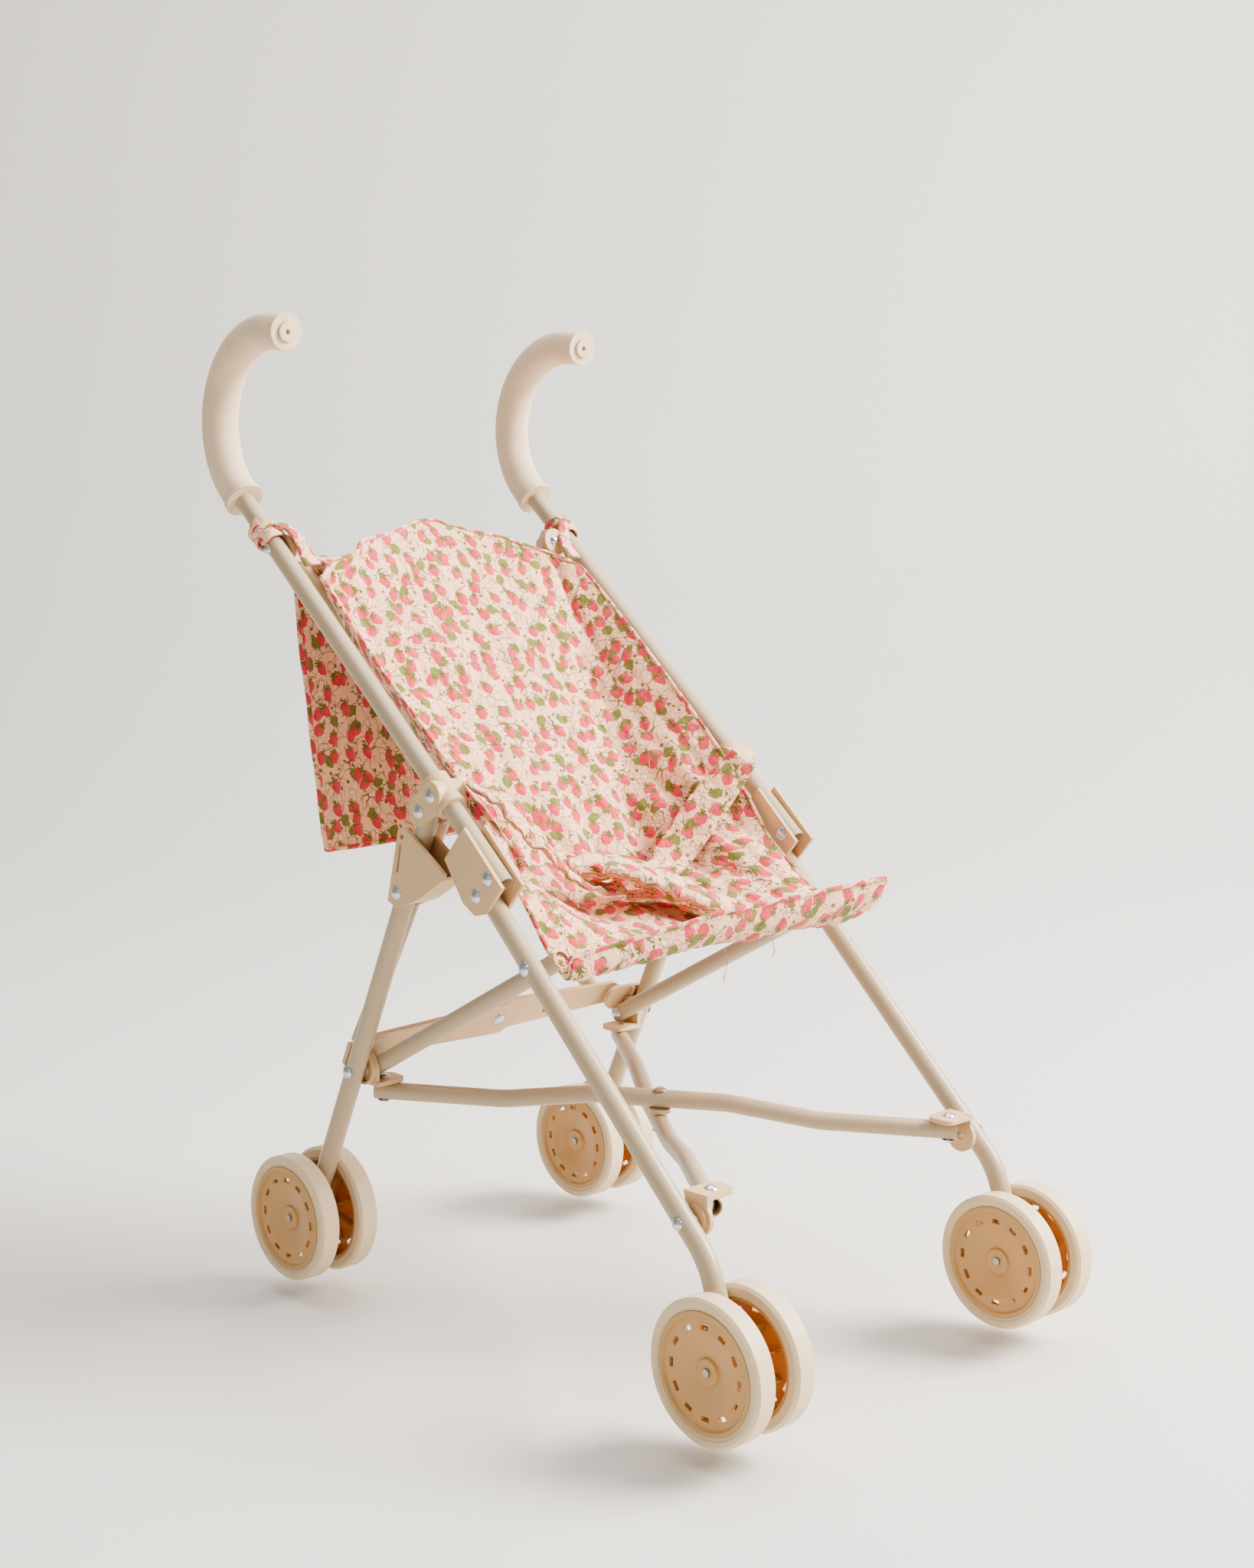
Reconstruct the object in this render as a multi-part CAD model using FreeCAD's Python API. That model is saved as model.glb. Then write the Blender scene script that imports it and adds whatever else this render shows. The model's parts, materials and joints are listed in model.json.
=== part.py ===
"""Doll stroller with an umbrella fold: two curved handle tubes, front and rear legs,
a crossed pair of tubes behind the back and another under the seat, four pairs of wheels
and a fabric sling.

Millimetres, +Z up. X runs across the stroller, it faces -Y. The sizes below are written
from a point halfway between the axles, and each finished piece is moved by ORIGIN_Y so
that the origin lies on the floor under the middle of the whole stroller's box.
"right" is the -X side, the right hand of whoever pushes it.
Every side piece is drawn once, for the +X side, and mirrored for the other.
"""
import FreeCAD, Part
import math
import os

V = FreeCAD.Vector

# ---- driving dimensions -------------------------------------------------------------
WHEEL_RADIUS = 36.0
WHEELBASE_FRONT = 167.5      # front axle, ahead of the origin
WHEELBASE_REAR = 167.5       # rear axle, behind the origin
HALF_TRACK = 111.0           # side frame plane, from the middle
TUBE_R = 5.5                 # handle tubes and legs
TUBE_WALL = 0.8
BRACE_R = 5.0                # crossed tubes and side struts
BRACE_WALL = 0.8

# pivots of the side linkage, (y, z) in the side frame plane
HANDLE_ANGLE = 41.6          # handle tube, degrees above the horizontal
HANDLE_PIVOT = (-3.7, 250.5)
REAR_LEG_PIVOT = (50.3, 280.7)
FRONT_LEG_RISE = 234.9       # the front leg runs at 45 degrees: z = y + this
LEG_TOP = 13.0               # y of the front leg's upper end
CHANNEL_RIVET_Y = 5.6
FRONT_BRACKET_Y = -136.9
LOWER_BEND = 72.0            # angle of the front leg's foot, degrees
LOWER_BEND_R = 45.0
STRUT_FRONT = (-28.1, 206.8)
STRUT_REAR = (124.0, 126.8)
BACK_TOP = (186.2, 417.7)
BACK_BOTTOM = (140.3, 142.3)
CROSS_FRONT = (-135.7, 102.4)
CROSS_REAR = (122.3, 112.2)
BACK_PIN_X = HALF_TRACK - TUBE_R - 12.5    # across: pins of the crossed back tubes
CROSS_PIN_X = HALF_TRACK - TUBE_R - 13.5   # across: pins of the crossed bottom tubes

# handle hook and grip
HANDLE_TAIL = 5.5            # tube below the handle pivot
HOOK_START = 300.0           # straight length above the handle pivot
HOOK_R = 51.0
HOOK_TURN = 144.4
HOOK_TIP = 12.0
GRIP_START = 293.0
GRIP_R = TUBE_R + 5.0
GRIP_LIP = 3.0               # thicker ring at the grip's lower end, along and outwards
GRIP_LIP_RISE = 0.8
PLUG_FLANGE = 1.6
PLUG_STEM = 8.0
PLUG_HOLE_R = 1.4

# fasteners and fits
PIN_R = 2.0
PIN_GAP = 0.05               # running clearance of a pin in a moving part
HEAD_R = 4.0
HEAD_H = 1.8
SLEEVE_GAP = 0.05
SIDE_GAP = 0.3               # between faces that slide past each other

# collar, channel brackets and catches
COLLAR_T = 59.0              # along the handle tube, from its pivot
COLLAR_LENGTH = 20.0
COLLAR_R = TUBE_R + 2.7
EAR_R = 8.0
EAR_HALF = TUBE_R + SIDE_GAP + 3.2
LEG_TIP = 3.6                # rear leg above its pivot
LEG_TAIL = 7.0               # every leg below its axle
CHANNEL_WALL = 2.4
CATCH_T = 51.0               # along the rear leg, from its pivot
CATCH_WALL = 2.2

# wheels
AXLE_R = 2.0
WHEEL_WIDTH = 13.0
PAIR_WIDTH = 40.0            # over both wheels of a leg
TYRE_DEPTH = 6.0
WINDOW_COUNT = 12
RIB_COUNT = 8

# lower brackets, lock bar
BOSS_R = 9.0
BOSS_DEPTH = 2.6
FRONT_BOSS = BOSS_DEPTH - 0.9
PLATE = 2.5
SHELF_LENGTH = 16.0
SHELF_GAP = 0.4              # between a bottom tube and the shelf over it
STRUT_TAIL = 4.0             # side strut beyond its rear pivot
TOP_PLATE = 3.0              # plate and lug of the top brackets
TOP_PIN_R = 1.6
TOP_HEAD_R = 3.2
SHELF_HEAD_R = 3.6
CLIP_REACH = 3.0             # ear behind the rear leg
LEG_CLEAR = 0.4              # between that ear and the leg
LOCK_PIN = 2.4
LOCK_THICK = 2.8
LOCK_HALF_WIDE = 10.5
LOCK_HALF_NARROW = 7.0
BACK_SPLIT = 2 * BRACE_R + 0.8  # between the two crossed back tubes, centre to centre
CROSS_BOW = BRACE_R + 1.5    # how far each bottom tube bows from the straight line

# fabric
FABRIC = 4.0
SEAT_HALF = HALF_TRACK - 25.0
CROWN_HALF = SEAT_HALF - 12.0
PANEL_HALF = SEAT_HALF - 2.0
PANEL = 5.0
BELT = 2.0
WING = 3.0
LOOP_T = 262.0


# ---- helpers ------------------------------------------------------------------------
def yz(point, x=HALF_TRACK):
    return V(x, point[0], point[1])


def unit(degrees):
    angle = math.radians(degrees)
    return V(0, math.cos(angle), math.sin(angle))


def along(start, direction, distance):
    return start + direction * distance


def rounded_wire(points, radii):
    """Straight runs through points, each inner corner turned with its radius."""
    edges = []
    last = points[0]
    for index in range(1, len(points) - 1):
        corner = points[index]
        before = (points[index - 1] - corner).normalize()
        after = (points[index + 1] - corner).normalize()
        half = before.getAngle(after) / 2
        reach = radii[index - 1] / math.tan(half)
        start = corner + before * reach
        end = corner + after * reach
        bisector = (before + after).normalize()
        middle = corner + bisector * (radii[index - 1] / math.sin(half) - radii[index - 1])
        edges.append(Part.LineSegment(last, start).toShape())
        edges.append(Part.Arc(start, middle, end).toShape())
        last = end
    edges.append(Part.LineSegment(last, points[-1]).toShape())
    return Part.Wire(edges)


def sweep(path, radius):
    """A round bar along a wire of straight runs and arcs that meet tangent."""
    pieces = []
    for edge in path.Edges:
        start = edge.valueAt(edge.FirstParameter)
        ahead = edge.tangentAt(edge.FirstParameter)
        disc = Part.Face(Part.Wire([Part.makeCircle(radius, start, ahead)]))
        if isinstance(edge.Curve, Part.Circle):
            turn = math.degrees(edge.LastParameter - edge.FirstParameter)
            pieces.append(disc.revolve(edge.Curve.Center, edge.Curve.Axis, turn))
        else:
            pieces.append(disc.extrude(edge.valueAt(edge.LastParameter) - start))
    body = pieces[0]
    for piece in pieces[1:]:
        body = body.fuse(piece)
    return body


def pipe(path, radius, bore):
    return sweep(path, radius).cut(sweep(path, bore))


def rod(start, end, radius):
    axis = end - start
    return Part.makeCylinder(radius, axis.Length, start, axis)


def tube(start, end, radius, wall):
    return rod(start, end, radius).cut(rod(start, end, radius - wall))


def x_rod(point, x_from, x_to, radius):
    return Part.makeCylinder(radius, x_to - x_from, yz(point, x_from), V(1, 0, 0))


def side_plate(points, x_from, x_to):
    """A flat plate in the side plane, from its (y, z) outline."""
    corners = [yz(p, x_from) for p in points]
    face = Part.Face(Part.makePolygon(corners + [corners[0]]))
    return face.extrude(V(x_to - x_from, 0, 0))


def stadium(first, second, radius, x_from, x_to):
    """Two round ends joined by a straight block, all across X."""
    a, b = yz(first, x_from), yz(second, x_from)
    normal = V(1, 0, 0).cross(b - a).normalize() * radius
    corners = [a + normal, b + normal, b - normal, a - normal]
    face = Part.Face(Part.makePolygon(corners + [corners[0]]))
    body = face.extrude(V(x_to - x_from, 0, 0))
    body = body.fuse(x_rod(first, x_from, x_to, radius))
    return body.fuse(x_rod(second, x_from, x_to, radius)).removeSplitter()


def soften(shape, radius, keep):
    """Rounds the edges that keep() picks."""
    edges = [e for e in shape.Edges if keep(e)]
    return shape.makeFillet(radius, edges) if edges else shape


def rivet(start, end, head_r=HEAD_R, pin_r=PIN_R):
    """A pin from start to end with a domed head outside each end."""
    axis = end - start
    length = axis.Length
    ball_r = (head_r ** 2 + HEAD_H ** 2) / (2 * HEAD_H)
    shoulder = math.asin(head_r / ball_r) / 2
    out, up = ball_r * math.sin(shoulder), HEAD_H - ball_r * (1 - math.cos(shoulder))
    low = [V(0, 0, -HEAD_H), V(out, 0, -up), V(head_r, 0, 0)]
    high = [V(head_r, 0, length), V(out, 0, length + up), V(0, 0, length + HEAD_H)]
    edges = [Part.Arc(*low).toShape()]
    for first, second in ((low[2], V(pin_r, 0, 0)), (V(pin_r, 0, 0), V(pin_r, 0, length)),
                          (V(pin_r, 0, length), high[0])):
        edges.append(Part.LineSegment(first, second).toShape())
    edges.append(Part.Arc(*high).toShape())
    edges.append(Part.LineSegment(high[2], low[0]).toShape())
    body = Part.Face(Part.Wire(edges)).revolve(V(0, 0, 0), V(0, 0, 1), 360)
    body.Placement = FreeCAD.Placement(start, FreeCAD.Rotation(V(0, 0, 1), axis))
    return body


def mirrored(shape):
    return shape.mirror(V(0, 0, 0), V(1, 0, 0))


def group(*shapes):
    return Part.makeCompound(list(shapes))


# ---- lines worked out from the pivots -----------------------------------------------
HANDLE_DIR = unit(HANDLE_ANGLE)
HANDLE_FRONT = V(0, -HANDLE_DIR.z, HANDLE_DIR.y)
PIVOT = yz(HANDLE_PIVOT)
REAR_AXLE = (WHEELBASE_REAR, WHEEL_RADIUS)
FRONT_AXLE = (-WHEELBASE_FRONT, WHEEL_RADIUS)
REAR_DIR = (yz(REAR_AXLE) - yz(REAR_LEG_PIVOT)).normalize()
REAR_BACK = V(0, -REAR_DIR.z, REAR_DIR.y)
BACK_DIR = (yz(BACK_TOP) - yz(BACK_BOTTOM)).normalize()
BACK_NORMAL = V(0, BACK_DIR.z, -BACK_DIR.y)
INNER = HALF_TRACK - TUBE_R
PLATE_OUT = INNER - BOSS_DEPTH
PLATE_IN = PLATE_OUT - PLATE
STRUT_X = PLATE_IN - SIDE_GAP - BRACE_R
CATCH_PIVOT = yz(REAR_LEG_PIVOT) + REAR_DIR * CATCH_T
TOP_PLATE_OUT = INNER - SIDE_GAP
TOP_PLATE_IN = TOP_PLATE_OUT - TOP_PLATE
EAR_START = TUBE_R + LEG_CLEAR
LOCK_START = EAR_START + CLIP_REACH + SIDE_GAP
PIVOT_ALONG = (yz(BACK_BOTTOM) - yz(REAR_LEG_PIVOT)).dot(REAR_DIR)


def handle_point(distance, front=0.0):
    return PIVOT + HANDLE_DIR * distance + HANDLE_FRONT * front


HOOK_CENTRE = PIVOT + HANDLE_DIR * HOOK_START + HANDLE_FRONT * HOOK_R
REAR_REACH = max(HOOK_CENTRE.y + HOOK_R + GRIP_R, WHEELBASE_REAR + WHEEL_RADIUS)
ORIGIN_Y = (REAR_REACH - WHEELBASE_FRONT - WHEEL_RADIUS) / 2


def as_pair(vector):
    return (vector.y, vector.z)


def on_hook(turn):
    """A point of the hook's centre line, after turning this many degrees."""
    heading = math.radians(HANDLE_ANGLE + turn)
    return HOOK_CENTRE + V(0, math.sin(heading), -math.cos(heading)) * HOOK_R


TIP_DIR = unit(HANDLE_ANGLE + HOOK_TURN)


def hook_path(start):
    """Centre line of the handle tube, from start along it to its tip."""
    bend = handle_point(HOOK_START)
    straight = Part.LineSegment(handle_point(start), bend).toShape()
    arc = Part.Arc(bend, on_hook(HOOK_TURN / 2), on_hook(HOOK_TURN)).toShape()
    end = Part.LineSegment(on_hook(HOOK_TURN), on_hook(HOOK_TURN) + TIP_DIR * HOOK_TIP).toShape()
    return Part.Wire([straight, arc, end])


# ---- handle side --------------------------------------------------------------------
def handle_tube():
    body = pipe(hook_path(-HANDLE_TAIL), TUBE_R, TUBE_R - TUBE_WALL)
    collar_hole = as_pair(handle_point(COLLAR_T))
    holes = [(HANDLE_PIVOT, PIN_GAP), (collar_hole, 0.0), (BACK_TOP, 0.0)]
    for point, gap in holes:
        body = body.cut(x_rod(point, INNER - 5, HALF_TRACK + TUBE_R + 5, PIN_R + gap))
    return body


def grip():
    body = pipe(hook_path(GRIP_START), GRIP_R, TUBE_R + SLEEVE_GAP)
    lip_start = handle_point(GRIP_START)
    lip_r = GRIP_R + GRIP_LIP_RISE
    lip = tube(lip_start, along(lip_start, HANDLE_DIR, GRIP_LIP), lip_r, lip_r - TUBE_R - SLEEVE_GAP)
    return body.fuse(lip).removeSplitter()


def grip_plug():
    """Push-in plug of the tube's tip, with a flange and a small hole."""
    tip = along(on_hook(HOOK_TURN), TIP_DIR, HOOK_TIP)
    flange = rod(tip, along(tip, TIP_DIR, PLUG_FLANGE), TUBE_R)
    stem = rod(tip, along(tip, TIP_DIR, -PLUG_STEM), TUBE_R - TUBE_WALL)
    hole = rod(along(tip, TIP_DIR, -PLUG_STEM - 1), along(tip, TIP_DIR, PLUG_FLANGE + 1), PLUG_HOLE_R)
    return flange.fuse(stem).cut(hole).removeSplitter()


def collar():
    """Sleeve on the handle tube with two ears that hold the rear leg."""
    middle = handle_point(COLLAR_T)
    half = HANDLE_DIR * (COLLAR_LENGTH / 2)
    body = rod(middle - half, middle + half, COLLAR_R)
    x_from, x_to = HALF_TRACK - EAR_HALF, HALF_TRACK + EAR_HALF
    ears = stadium(as_pair(middle), REAR_LEG_PIVOT, EAR_R, x_from, x_to)
    body = body.fuse(ears).removeSplitter()
    slot_start = as_pair(handle_point(COLLAR_T, -(TUBE_R + 2.0)))
    slot_y, slot_z = REAR_LEG_PIVOT
    reach = EAR_R + 6
    slot_half = TUBE_R + SIDE_GAP
    corner = V(0, slot_y - slot_start[0], slot_z - slot_start[1]).normalize()
    aside = V(0, -corner.z, corner.y)
    near = yz(slot_start, HALF_TRACK - slot_half)
    depth = corner * (EAR_R * 3)
    outline = [near + aside * reach, near + depth + aside * reach,
               near + depth - aside * reach, near - aside * reach]
    slot = Part.Face(Part.makePolygon(outline + [outline[0]])).extrude(V(2 * slot_half, 0, 0))
    turning = math.hypot(LEG_TIP, TUBE_R) + SIDE_GAP
    room = x_rod(REAR_LEG_PIVOT, HALF_TRACK - slot_half, HALF_TRACK + slot_half, turning)
    body = body.cut(slot).cut(room)
    body = body.cut(rod(middle - half * 2, middle + half * 2, TUBE_R + SLEEVE_GAP))
    for hole in (as_pair(middle), REAR_LEG_PIVOT):
        body = body.cut(x_rod(hole, x_from - 1, x_to + 1, PIN_R))
    return body


def handle_rivets():
    """Collar rivet, rear leg pivot and the pin of the top bracket."""
    outer = HALF_TRACK + EAR_HALF
    inner = HALF_TRACK - EAR_HALF
    parts = []
    for point in (as_pair(handle_point(COLLAR_T)), REAR_LEG_PIVOT):
        parts.append(rivet(yz(point, inner), yz(point, outer)))
    start = yz(BACK_TOP, TOP_PLATE_IN)
    parts.append(rivet(start, yz(BACK_TOP, HALF_TRACK + TUBE_R), TOP_HEAD_R, TOP_PIN_R))
    return group(*parts)


def top_bracket(offset):
    """Disc beside the handle tube with a lug that the back tube is riveted to."""
    body = x_rod(BACK_TOP, TOP_PLATE_IN, TOP_PLATE_OUT, EAR_R)
    lug_back = offset - BRACE_R - SIDE_GAP
    centre = yz(BACK_TOP, BACK_PIN_X)
    corner = centre + BACK_NORMAL * (lug_back - TOP_PLATE)
    lug = rod(corner, corner + BACK_NORMAL * TOP_PLATE, BRACE_R * 1.5)
    reach = yz(BACK_TOP, TOP_PLATE_OUT) - yz(BACK_TOP, BACK_PIN_X)
    foot = corner - BACK_DIR * 5.5
    outline = [foot, foot + reach, foot + reach + BACK_DIR * 11, foot + BACK_DIR * 11]
    arm = Part.Face(Part.makePolygon(outline + [outline[0]])).extrude(BACK_NORMAL * TOP_PLATE)
    body = body.fuse(lug).fuse(arm).removeSplitter()
    body = body.cut(x_rod(BACK_TOP, TOP_PLATE_IN - 9, TOP_PLATE_OUT + 1, TOP_PIN_R + PIN_GAP))
    head_room = x_rod(BACK_TOP, TOP_PLATE_IN - HEAD_H - 0.5, TOP_PLATE_IN, TOP_HEAD_R + 0.4)
    return body.cut(head_room).cut(rod(corner - BACK_NORMAL, corner + BACK_NORMAL * 4, PIN_R + PIN_GAP))


# ---- front leg side -----------------------------------------------------------------
def on_front_leg(y):
    return V(HALF_TRACK, y, y + FRONT_LEG_RISE)


CHANNEL_RIVET = as_pair(on_front_leg(CHANNEL_RIVET_Y))
FRONT_BRACKET = as_pair(on_front_leg(FRONT_BRACKET_Y))


def front_leg():
    foot_dir = unit(LOWER_BEND)
    axle = yz(FRONT_AXLE)
    rise = (FRONT_LEG_RISE + axle.y - axle.z) / (foot_dir.z - foot_dir.y)
    corner = axle + foot_dir * rise
    end = axle - foot_dir * LEG_TAIL
    path = rounded_wire([on_front_leg(LEG_TOP), corner, end], [LOWER_BEND_R])
    body = pipe(path, TUBE_R, TUBE_R - TUBE_WALL)
    wide = (HALF_TRACK - TUBE_R - 2, HALF_TRACK + TUBE_R + 2)
    for point in (CHANNEL_RIVET, STRUT_FRONT, FRONT_BRACKET):
        body = body.cut(x_rod(point, *wide, PIN_R))
    return body.cut(x_rod(FRONT_AXLE, *wide, AXLE_R + PIN_GAP))


def u_bracket():
    """Channel that holds the front leg and turns on the handle tube's end."""
    half = TUBE_R + SIDE_GAP
    outline = [(30, 6.5), (30, -17.5), (5, -24), (-6, -22), (-11, -15), (-11, 5)]
    points = [as_pair(handle_point(t, p)) for t, p in outline]
    body = side_plate(points, HALF_TRACK - half - CHANNEL_WALL, HALF_TRACK + half + CHANNEL_WALL)
    hollow = [(31, 8), (31, -17.5 + CHANNEL_WALL), (5, -24 + CHANNEL_WALL),
              (-6, -22 + CHANNEL_WALL), (-14, -16), (-12, 8)]
    points = [as_pair(handle_point(t, p)) for t, p in hollow]
    body = body.cut(side_plate(points, HALF_TRACK - half, HALF_TRACK + half))
    body = body.cut(rod(on_front_leg(LEG_TOP - 60), on_front_leg(LEG_TOP + 1), TUBE_R + SLEEVE_GAP))
    for point in (HANDLE_PIVOT, CHANNEL_RIVET):
        for sign in (-1, 1):
            face = HALF_TRACK + sign * (half + CHANNEL_WALL)
            lo, hi = sorted((face, face - sign * 0.8))
            body = body.fuse(x_rod(point, lo, hi, HEAD_R + 1.4))
        body = body.cut(x_rod(point, HALF_TRACK - 15, HALF_TRACK + 15, PIN_R))
    return body.removeSplitter()


def front_rivets():
    """Handle pivot, channel rivet, strut rivet and bracket rivet of the front leg."""
    half = TUBE_R + SIDE_GAP + CHANNEL_WALL
    parts = []
    for point in (HANDLE_PIVOT, CHANNEL_RIVET):
        parts.append(rivet(yz(point, HALF_TRACK - half), yz(point, HALF_TRACK + half)))
    head = yz(STRUT_FRONT, HALF_TRACK + TUBE_R)
    pin = rivet(yz(STRUT_FRONT, HALF_TRACK), head)
    parts.append(pin.cut(x_rod(STRUT_FRONT, HALF_TRACK - 9, HALF_TRACK, HEAD_R + 1)))
    outer = yz(FRONT_BRACKET, HALF_TRACK + TUBE_R)
    half_pin = rivet(yz(FRONT_BRACKET, HALF_TRACK), outer, 3.4)
    parts.append(half_pin.cut(x_rod(FRONT_BRACKET, HALF_TRACK - 9, HALF_TRACK, HEAD_R)))
    return group(*parts)


# ---- rear leg side ------------------------------------------------------------------
def rear_leg():
    top = yz(REAR_LEG_PIVOT) - REAR_DIR * LEG_TIP
    body = tube(top, yz(REAR_AXLE) + REAR_DIR * LEG_TAIL, TUBE_R, TUBE_WALL)
    wide = (HALF_TRACK - TUBE_R - 2, HALF_TRACK + TUBE_R + 2)
    body = body.cut(x_rod(REAR_LEG_PIVOT, *wide, PIN_R + PIN_GAP))
    body = body.cut(x_rod(as_pair(CATCH_PIVOT), *wide, PIN_R))
    body = body.cut(x_rod(STRUT_REAR, *wide, PIN_R))
    return body.cut(x_rod(REAR_AXLE, *wide, AXLE_R + PIN_GAP))


def rear_rivets():
    """Catch pivot and strut pivot of the rear leg."""
    half = TUBE_R + SIDE_GAP + CATCH_WALL
    point = as_pair(CATCH_PIVOT)
    catch = rivet(yz(point, HALF_TRACK - half), yz(point, HALF_TRACK + half))
    strut_in = STRUT_X - BRACE_R
    strut = rivet(yz(STRUT_REAR, strut_in), yz(STRUT_REAR, HALF_TRACK + TUBE_R))
    return group(catch, strut)


def lock_centre(x, depth):
    """A point of the lock bar's line, at a depth behind the rear legs' plane."""
    foot = yz(REAR_LEG_PIVOT, x) + REAR_DIR * PIVOT_ALONG
    return foot + REAR_BACK * depth


def rear_clip(lock_depth):
    """Boss between leg and bracket, with an ear behind the leg for the lock bar's pin."""
    body = x_rod(STRUT_REAR, PLATE_OUT, INNER, BOSS_R)
    cup = x_rod(STRUT_REAR, PLATE_OUT + 1.0, INNER, BOSS_R - 1.6)
    post = x_rod(STRUT_REAR, PLATE_OUT, INNER, 4.0)
    body = body.cut(cup).fuse(post)
    ear_from, ear_to = EAR_START, EAR_START + CLIP_REACH
    along_leg = (yz(STRUT_REAR) - yz(REAR_LEG_PIVOT)).dot(REAR_DIR)
    low = yz(REAR_LEG_PIVOT, PLATE_OUT) + REAR_DIR * (along_leg + 7)
    wall = [low + REAR_BACK * 4.0, low + REAR_BACK * ear_to]
    wall += [w - REAR_DIR * (along_leg + 7 - PIVOT_ALONG + 7) for w in reversed(wall)]
    body = body.fuse(Part.Face(Part.makePolygon(wall + [wall[0]])).extrude(V(BOSS_DEPTH, 0, 0)))
    ear = rod(lock_centre(BACK_PIN_X, ear_from), lock_centre(BACK_PIN_X, ear_to), 8.0)
    a = lock_centre(BACK_PIN_X, ear_from) + REAR_DIR * 7
    span = V(HALF_TRACK + 3 - BACK_PIN_X, 0, 0)
    sheet = [a, a + span, a + span - REAR_DIR * 14, a - REAR_DIR * 14]
    arm = Part.Face(Part.makePolygon(sheet + [sheet[0]])).extrude(REAR_BACK * CLIP_REACH)
    body = body.fuse(ear).fuse(arm)
    pin_end = lock_centre(BACK_PIN_X, lock_depth + LOCK_THICK)
    body = body.fuse(rod(lock_centre(BACK_PIN_X, ear_to), pin_end, LOCK_PIN))
    body = body.cut(x_rod(STRUT_REAR, PLATE_IN - SIDE_GAP, PLATE_OUT, BOSS_R + SIDE_GAP))
    rear, front = yz(STRUT_REAR, STRUT_X), yz(STRUT_FRONT, STRUT_X)
    way = (front - rear).normalize()
    body = body.cut(rod(rear - way * (STRUT_TAIL + 0.5), rear + way * 30, BRACE_R + 0.4))
    return body.cut(x_rod(STRUT_REAR, PLATE_OUT - 1, INNER + 1, PIN_R)).removeSplitter()


def strut():
    """Side strut from the rear leg to the front leg; its front end laps the leg."""
    rear, front = yz(STRUT_REAR, STRUT_X), yz(STRUT_FRONT, STRUT_X)
    axis = (front - rear).normalize()
    body = tube(rear - axis * STRUT_TAIL, front + axis * 6, BRACE_R, BRACE_WALL)
    return body.cut(x_rod(STRUT_REAR, STRUT_X - 9, STRUT_X + 9, PIN_R + PIN_GAP))


def catch():
    """Three-sided channel on the rear leg that blocks the fold until it is lifted."""
    half = TUBE_R + SIDE_GAP
    pivot = as_pair(CATCH_PIVOT)
    corners = [(7.5, -5.0), (-3.0, 34.5), (-9.0, 36.0), (-41.0, 14.5),
               (-40.0, 11.0), (-17.0, -2.5), (0.0, -8.5)]
    points = [(pivot[0] + y, pivot[1] + z) for y, z in corners]
    body = side_plate(points, HALF_TRACK - half - CATCH_WALL, HALF_TRACK + half + CATCH_WALL)
    hollow = [(40.0, -9.0), (10.0, 50.0), (-60.0, 32.0), (-44.0, 14.5), (-17.0, 1.5), (-4.0, -9.0)]
    points = [(pivot[0] + y, pivot[1] + z) for y, z in hollow]
    body = body.cut(side_plate(points, HALF_TRACK - half, HALF_TRACK + half))
    eye = (pivot[0] - 6.0, pivot[1] + 31.0)
    slit_top = (pivot[0] - 4.6, pivot[1] + 26.0)
    slit_end = (pivot[0] - 1.4, pivot[1] + 12.0)
    body = body.cut(x_rod(eye, HALF_TRACK - 12, HALF_TRACK + 12, 1.4))
    body = body.cut(stadium(slit_top, slit_end, 0.9, HALF_TRACK - 12, HALF_TRACK + 12))
    return body.cut(x_rod(pivot, HALF_TRACK - 12, HALF_TRACK + 12, PIN_R + PIN_GAP))


# ---- lower brackets and crossed bottom tubes ----------------------------------------
CROSS_LINE = (yz(CROSS_REAR) - yz(CROSS_FRONT)).normalize()
CROSS_NORMAL = V(0, -CROSS_LINE.z, CROSS_LINE.y)
CROSS_TILT = math.degrees(math.atan2(CROSS_LINE.z, CROSS_LINE.y))


def l_bracket(pivot, pin, boss):
    """Upright plate beside a leg, with a shelf over the end of the bottom tube."""
    shelf_z = pin[1] + BRACE_R + SHELF_GAP
    body = x_rod(pivot, PLATE_IN, PLATE_OUT, BOSS_R)
    top = max(pivot[1], shelf_z + PLATE)
    low_y = min(pivot[0], pin[0]) - SHELF_LENGTH / 2 + 1
    high_y = max(pivot[0], pin[0]) + SHELF_LENGTH / 2 - 1
    base = min(shelf_z, pivot[1])
    upright = Part.makeBox(PLATE, high_y - low_y, top - base, V(PLATE_IN, low_y, base))
    shelf_in = CROSS_PIN_X - 10.0
    shelf = Part.makeBox(PLATE_OUT - shelf_in, SHELF_LENGTH, PLATE,
                         V(shelf_in, pin[0] - SHELF_LENGTH / 2, shelf_z))
    shelf = soften(shelf, 5.0, lambda e: abs(e.Length - PLATE) < 1e-6 and e.BoundBox.XMax < CROSS_PIN_X)
    shelf.rotate(V(0, pin[0], pin[1]), V(1, 0, 0), CROSS_TILT)
    body = body.fuse(upright).fuse(shelf)
    face = PLATE_OUT + boss
    if boss:
        body = body.fuse(x_rod(pivot, PLATE_OUT, face, BOSS_R - 2.0))
    body = body.cut(x_rod(pivot, PLATE_IN - 1, face + 1, PIN_R + PIN_GAP))
    hole = V(CROSS_PIN_X, pin[0], pin[1])
    return body.cut(rod(hole, hole + CROSS_NORMAL * 20, PIN_R + PIN_GAP)).removeSplitter()


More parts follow.
